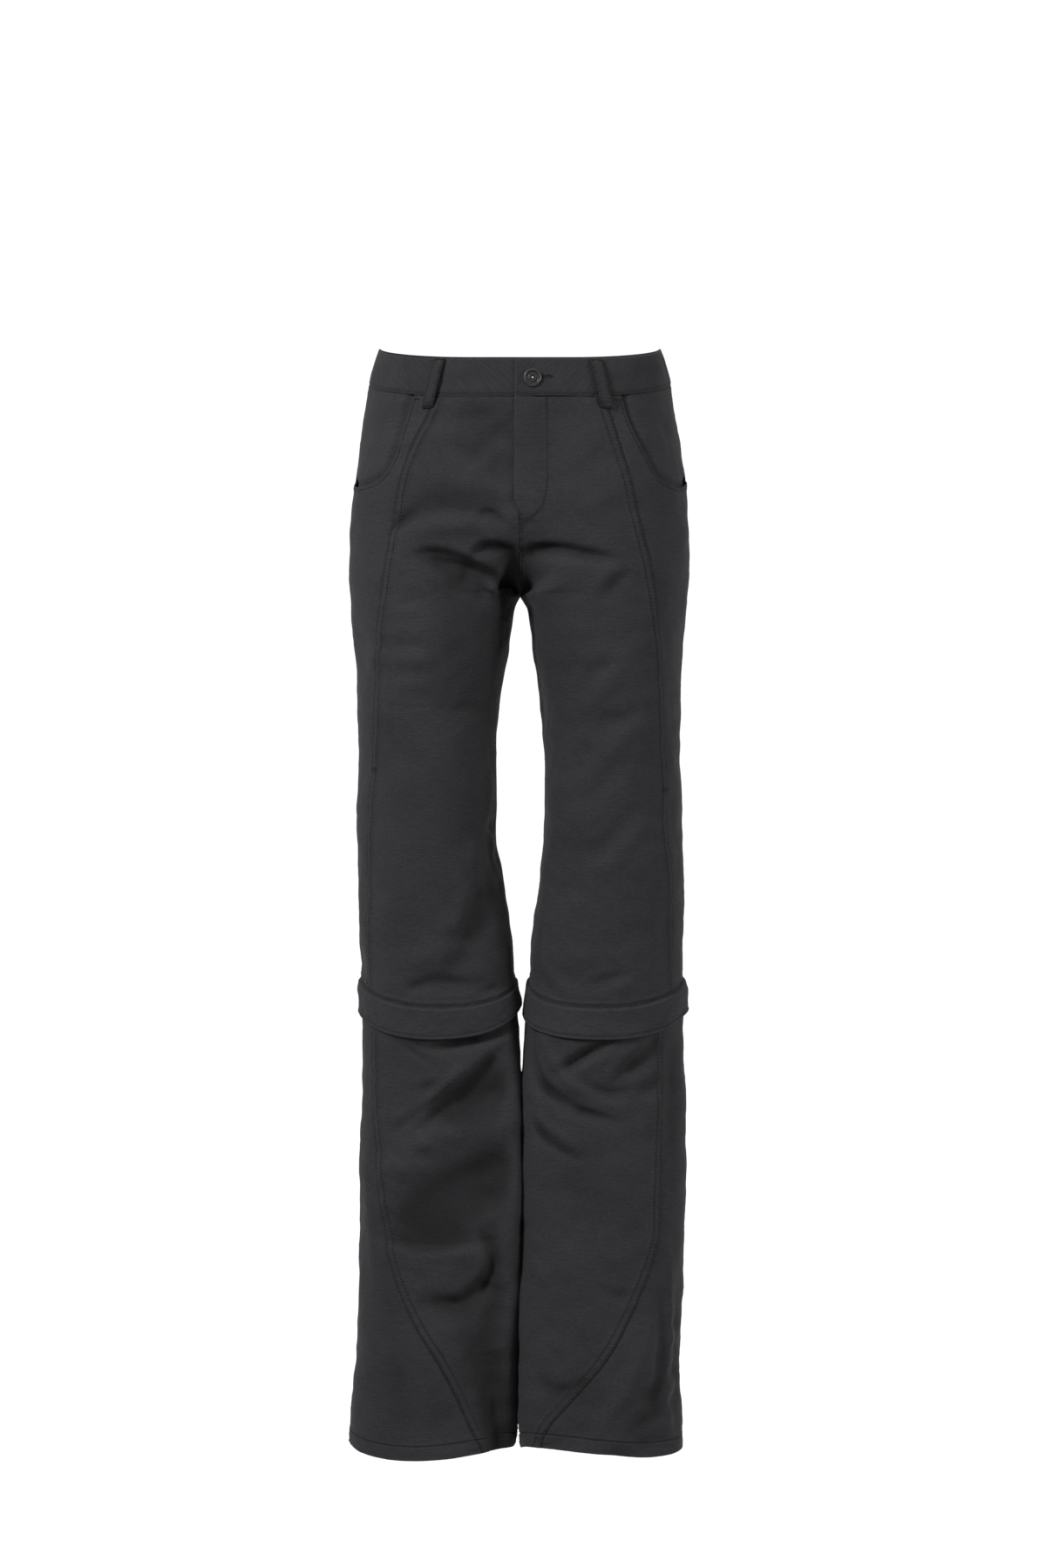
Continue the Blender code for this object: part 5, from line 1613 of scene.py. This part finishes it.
def make_lower(side):
    """Front, side and back of one lower leg, from under the band to the hem, and their stitches."""
    group = "stitches_lower_" + side
    top_z, low_z = (on_princess(side, name, LOWER_PRINCESS) for name in ("knee_seam", "hem"))
    top_z -= ZIP_GAP
    seam_line = dense(lambda z: princess(side, z, LOWER_PRINCESS), top_z, low_z)
    hem_edge = level_line(side, "hem", 0.0, 4.0, count=800)
    hem_row = level_line(side, "hem", 0.0, 4.0, HEM_DEPTH, 1200)
    hem = [Seam(hem_edge, 0.6, HEM_DEPTH + 0.5, (HEM_DEPTH,), 0.0), Seam(hem_row, roll=0.7)]
    raised = Seam(seam_line, lift=0.8, rows=TWIN_ROWS)

    def straight(turn):
        """A line straight down the leg."""
        knee, low = (float(girdle(side, name, turn)) for name in ("knee_seam", "hem"))
        return dense(lambda z: turn, knee - ZIP_GAP, low)

    inner, outer_side, back_inner = straight(0.0), straight(2.0), straight(4.0)
    start, end = (line + (past, 0) for line, past in ((inner, -0.004), (back_inner, 0.004)))
    # the first and last edges of each panel, and its seams
    parts = {
        "lower_front": (start, moved(side, seam_line, SEAM_TUCK), [raised, *hem, Seam(inner, roll=0.2)]),
        "lower_side": (
            moved(side, seam_line, -SEAM_TUCK),
            moved(side, outer_side, SEAM_TUCK),
            [Seam(seam_line, roll=0.3), Seam(outer_side, roll=0.25), *hem],
        ),
        "lower_back": (
            moved(side, outer_side, -SEAM_TUCK),
            end,
            [Seam(outer_side, lift=0.3, band=7.0, roll=0.3), *hem, Seam(back_inner, roll=0.3)],
        ),
    }
    for kind, (first, last, seams) in parts.items():
        top = level_line(side, "knee_seam", first[0, 0], last[0, 0], -ZIP_GAP)
        bottom = level_line(side, "hem", first[-1, 0], last[-1, 0])
        top[0], top[-1], bottom[0], bottom[-1] = first[0], last[0], first[-1], last[-1]
        bounds = first, last, top, bottom
        panel(kind, side, bounds, seams, "tb", thick=WALL + 0.2, low=(0.0, HEM_DEPTH))
    for offset in TWIN_ROWS:
        line = beside(side, seam_line, -offset)
        line = line[(line[:, 1] < top_z - 12) & (line[:, 1] > girdle(side, "hem", line[:, 0]) + 1.0)]
        sew_line(group, side, line, [raised, *hem])
    sew_line(group, side, hem_row, hem)


def declare_sheets():
    """Takes the area of each piece of cloth's shape, half the sum of its faces' areas; the area is not kept.
    """
    graph = bpy.context.evaluated_depsgraph_get()
    for piece in SHEETS:
        shape = piece.evaluated_get(graph)
        area = sum(face.area for face in shape.to_mesh().polygons) / 2
        shape.to_mesh_clear()


# Stage


def shaded_range(tree, value, source, result):
    """The value carried smoothly from one range to another."""
    node = tree.nodes.new("ShaderNodeMapRange")
    node.interpolation_type = "SMOOTHSTEP"
    ends = (*source, *result)
    for name, end in zip(("From Min", "From Max", "To Min", "To Max"), ends):
        node.inputs[name].default_value = end
    tree.links.new(value, node.inputs["Value"])
    return node.outputs["Result"]


def make_stage():
    """A pale bowl of a floor, in metres: flat under the trousers and curving up all round. It glows in front
    of the camera and less to either side."""
    flat, rise, rim_height, floor_z = 4.6, 2.4, 6.5, -1.3
    bend = np.linspace(0, math.pi / 2, 14)[1:]
    radius = np.concatenate([np.linspace(0.0001, flat, 12), flat + rise * np.sin(bend), [flat + rise]])
    height = np.concatenate([np.zeros(12), rise * (1 - np.cos(bend)), [rim_height]]) + floor_z
    radius, height = radius[:, None], height[:, None]
    angle = np.linspace(0, 2 * math.pi, 96, endpoint=False)
    round_shape = (len(radius), 96)
    points = np.stack(
        [radius * np.cos(angle), radius * np.sin(angle), np.broadcast_to(height, round_shape)], axis=-1
    )
    number, faces = tube_faces(*round_shape)
    material, tree, shader = new_material("pale_floor")
    shader.inputs["Base Color"].default_value = (0.03, 0.03, 0.03, 1.0)
    shader.inputs["Roughness"].default_value = 0.9
    shader.inputs["Emission Color"].default_value = (1.0, 1.0, 1.0, 1.0)
    place = tree.nodes.new("ShaderNodeTexCoord")
    split = tree.nodes.new("ShaderNodeSeparateXYZ")
    tree.links.new(place.outputs["Object"], split.inputs["Vector"])
    x, y = split.outputs["X"], split.outputs["Y"]
    aside = maths(tree, "DIVIDE", maths(tree, "ABSOLUTE", x), maths(tree, "ADD", y, 3.6))
    glow = shaded_range(tree, aside, (0.25, 0.6), (1.02, 0.2))
    near = shaded_range(tree, y, (-0.5, 0.5), (0.2, 1.0))
    tree.links.new(maths(tree, "MULTIPLY", glow, near), shader.inputs["Emission Strength"])
    faces = faces[:, ::-1].tolist() + [number[0].tolist()]
    add_mesh("floor", points.reshape(-1, 3) / MM, faces, material)


# Lamps: name, place and target in metres, width and height, watts
LAMPS = (
    ("key", (-2.0, -2.0, 1.25), (0, 0, -0.45), (0.7, 1.1), 82),
    ("fill", (3.2, -1.7, 0.5), (0, 0, -0.4), (1.4, 2.0), 58),
    ("back_left", (-2.6, 1.6, 0.4), (0, 0, -0.5), (1.2, 2.4), 5.5),
    ("back_right", (2.6, 1.6, 0.4), (0, 0, -0.5), (1.2, 2.4), 4),
)
SKY_STRENGTH = 0.415
CAMERA_PLACE = (0.0025, -3.4, -0.4146)
LENS = 81.97


def make_lights():
    """An even white sky and four lamps that face the trousers."""
    world = bpy.data.worlds.new("studio")
    bpy.context.scene.world = world
    world.use_nodes = True
    sky = world.node_tree.nodes["Background"]
    sky.inputs["Color"].default_value = (1.0, 1.0, 1.0, 1.0)
    sky.inputs["Strength"].default_value = SKY_STRENGTH
    for name, place, target, size, power in LAMPS:
        light = bpy.data.lights.new(name, "AREA")
        light.shape = "RECTANGLE"
        light.size, light.size_y = size
        light.energy = power
        lamp = bpy.data.objects.new(name, light)
        bpy.context.scene.collection.objects.link(lamp)
        lamp.location = place
        x, y, z = np.subtract(target, place)
        lamp.rotation_euler = (math.atan2(math.hypot(x, y), -z), 0.0, math.atan2(-x, y))


def make_camera():
    """The camera looks straight at the front, at the height of the thighs."""
    data = bpy.data.cameras.new("camera")
    data.sensor_width = 36.0
    data.lens = LENS
    data.clip_end = 60.0
    camera = bpy.data.objects.new("camera", data)
    bpy.context.scene.collection.objects.link(camera)
    camera.location = CAMERA_PLACE
    camera.rotation_euler = (math.radians(90), 0.0, 0.0)
    bpy.context.scene.camera = camera


make_camera()
make_stage()
make_lights()
bpy.context.scene.view_settings.view_transform = "Standard"

make_waistband()
make_belt_loops()
make_buttonhole(make_button())
make_fly_shield()
for leg in SIDES:
    make_upper(leg)
    make_knee(leg)
    make_lower(leg)
for stitch_group in sorted(STITCHES):
    slot_name = "band_cloth" if stitch_group == "stitches_waist" else "cloth"
    settle(stitch_mesh(stitch_group, STITCHES[stitch_group], THREAD), slot_name)
declare_sheets()
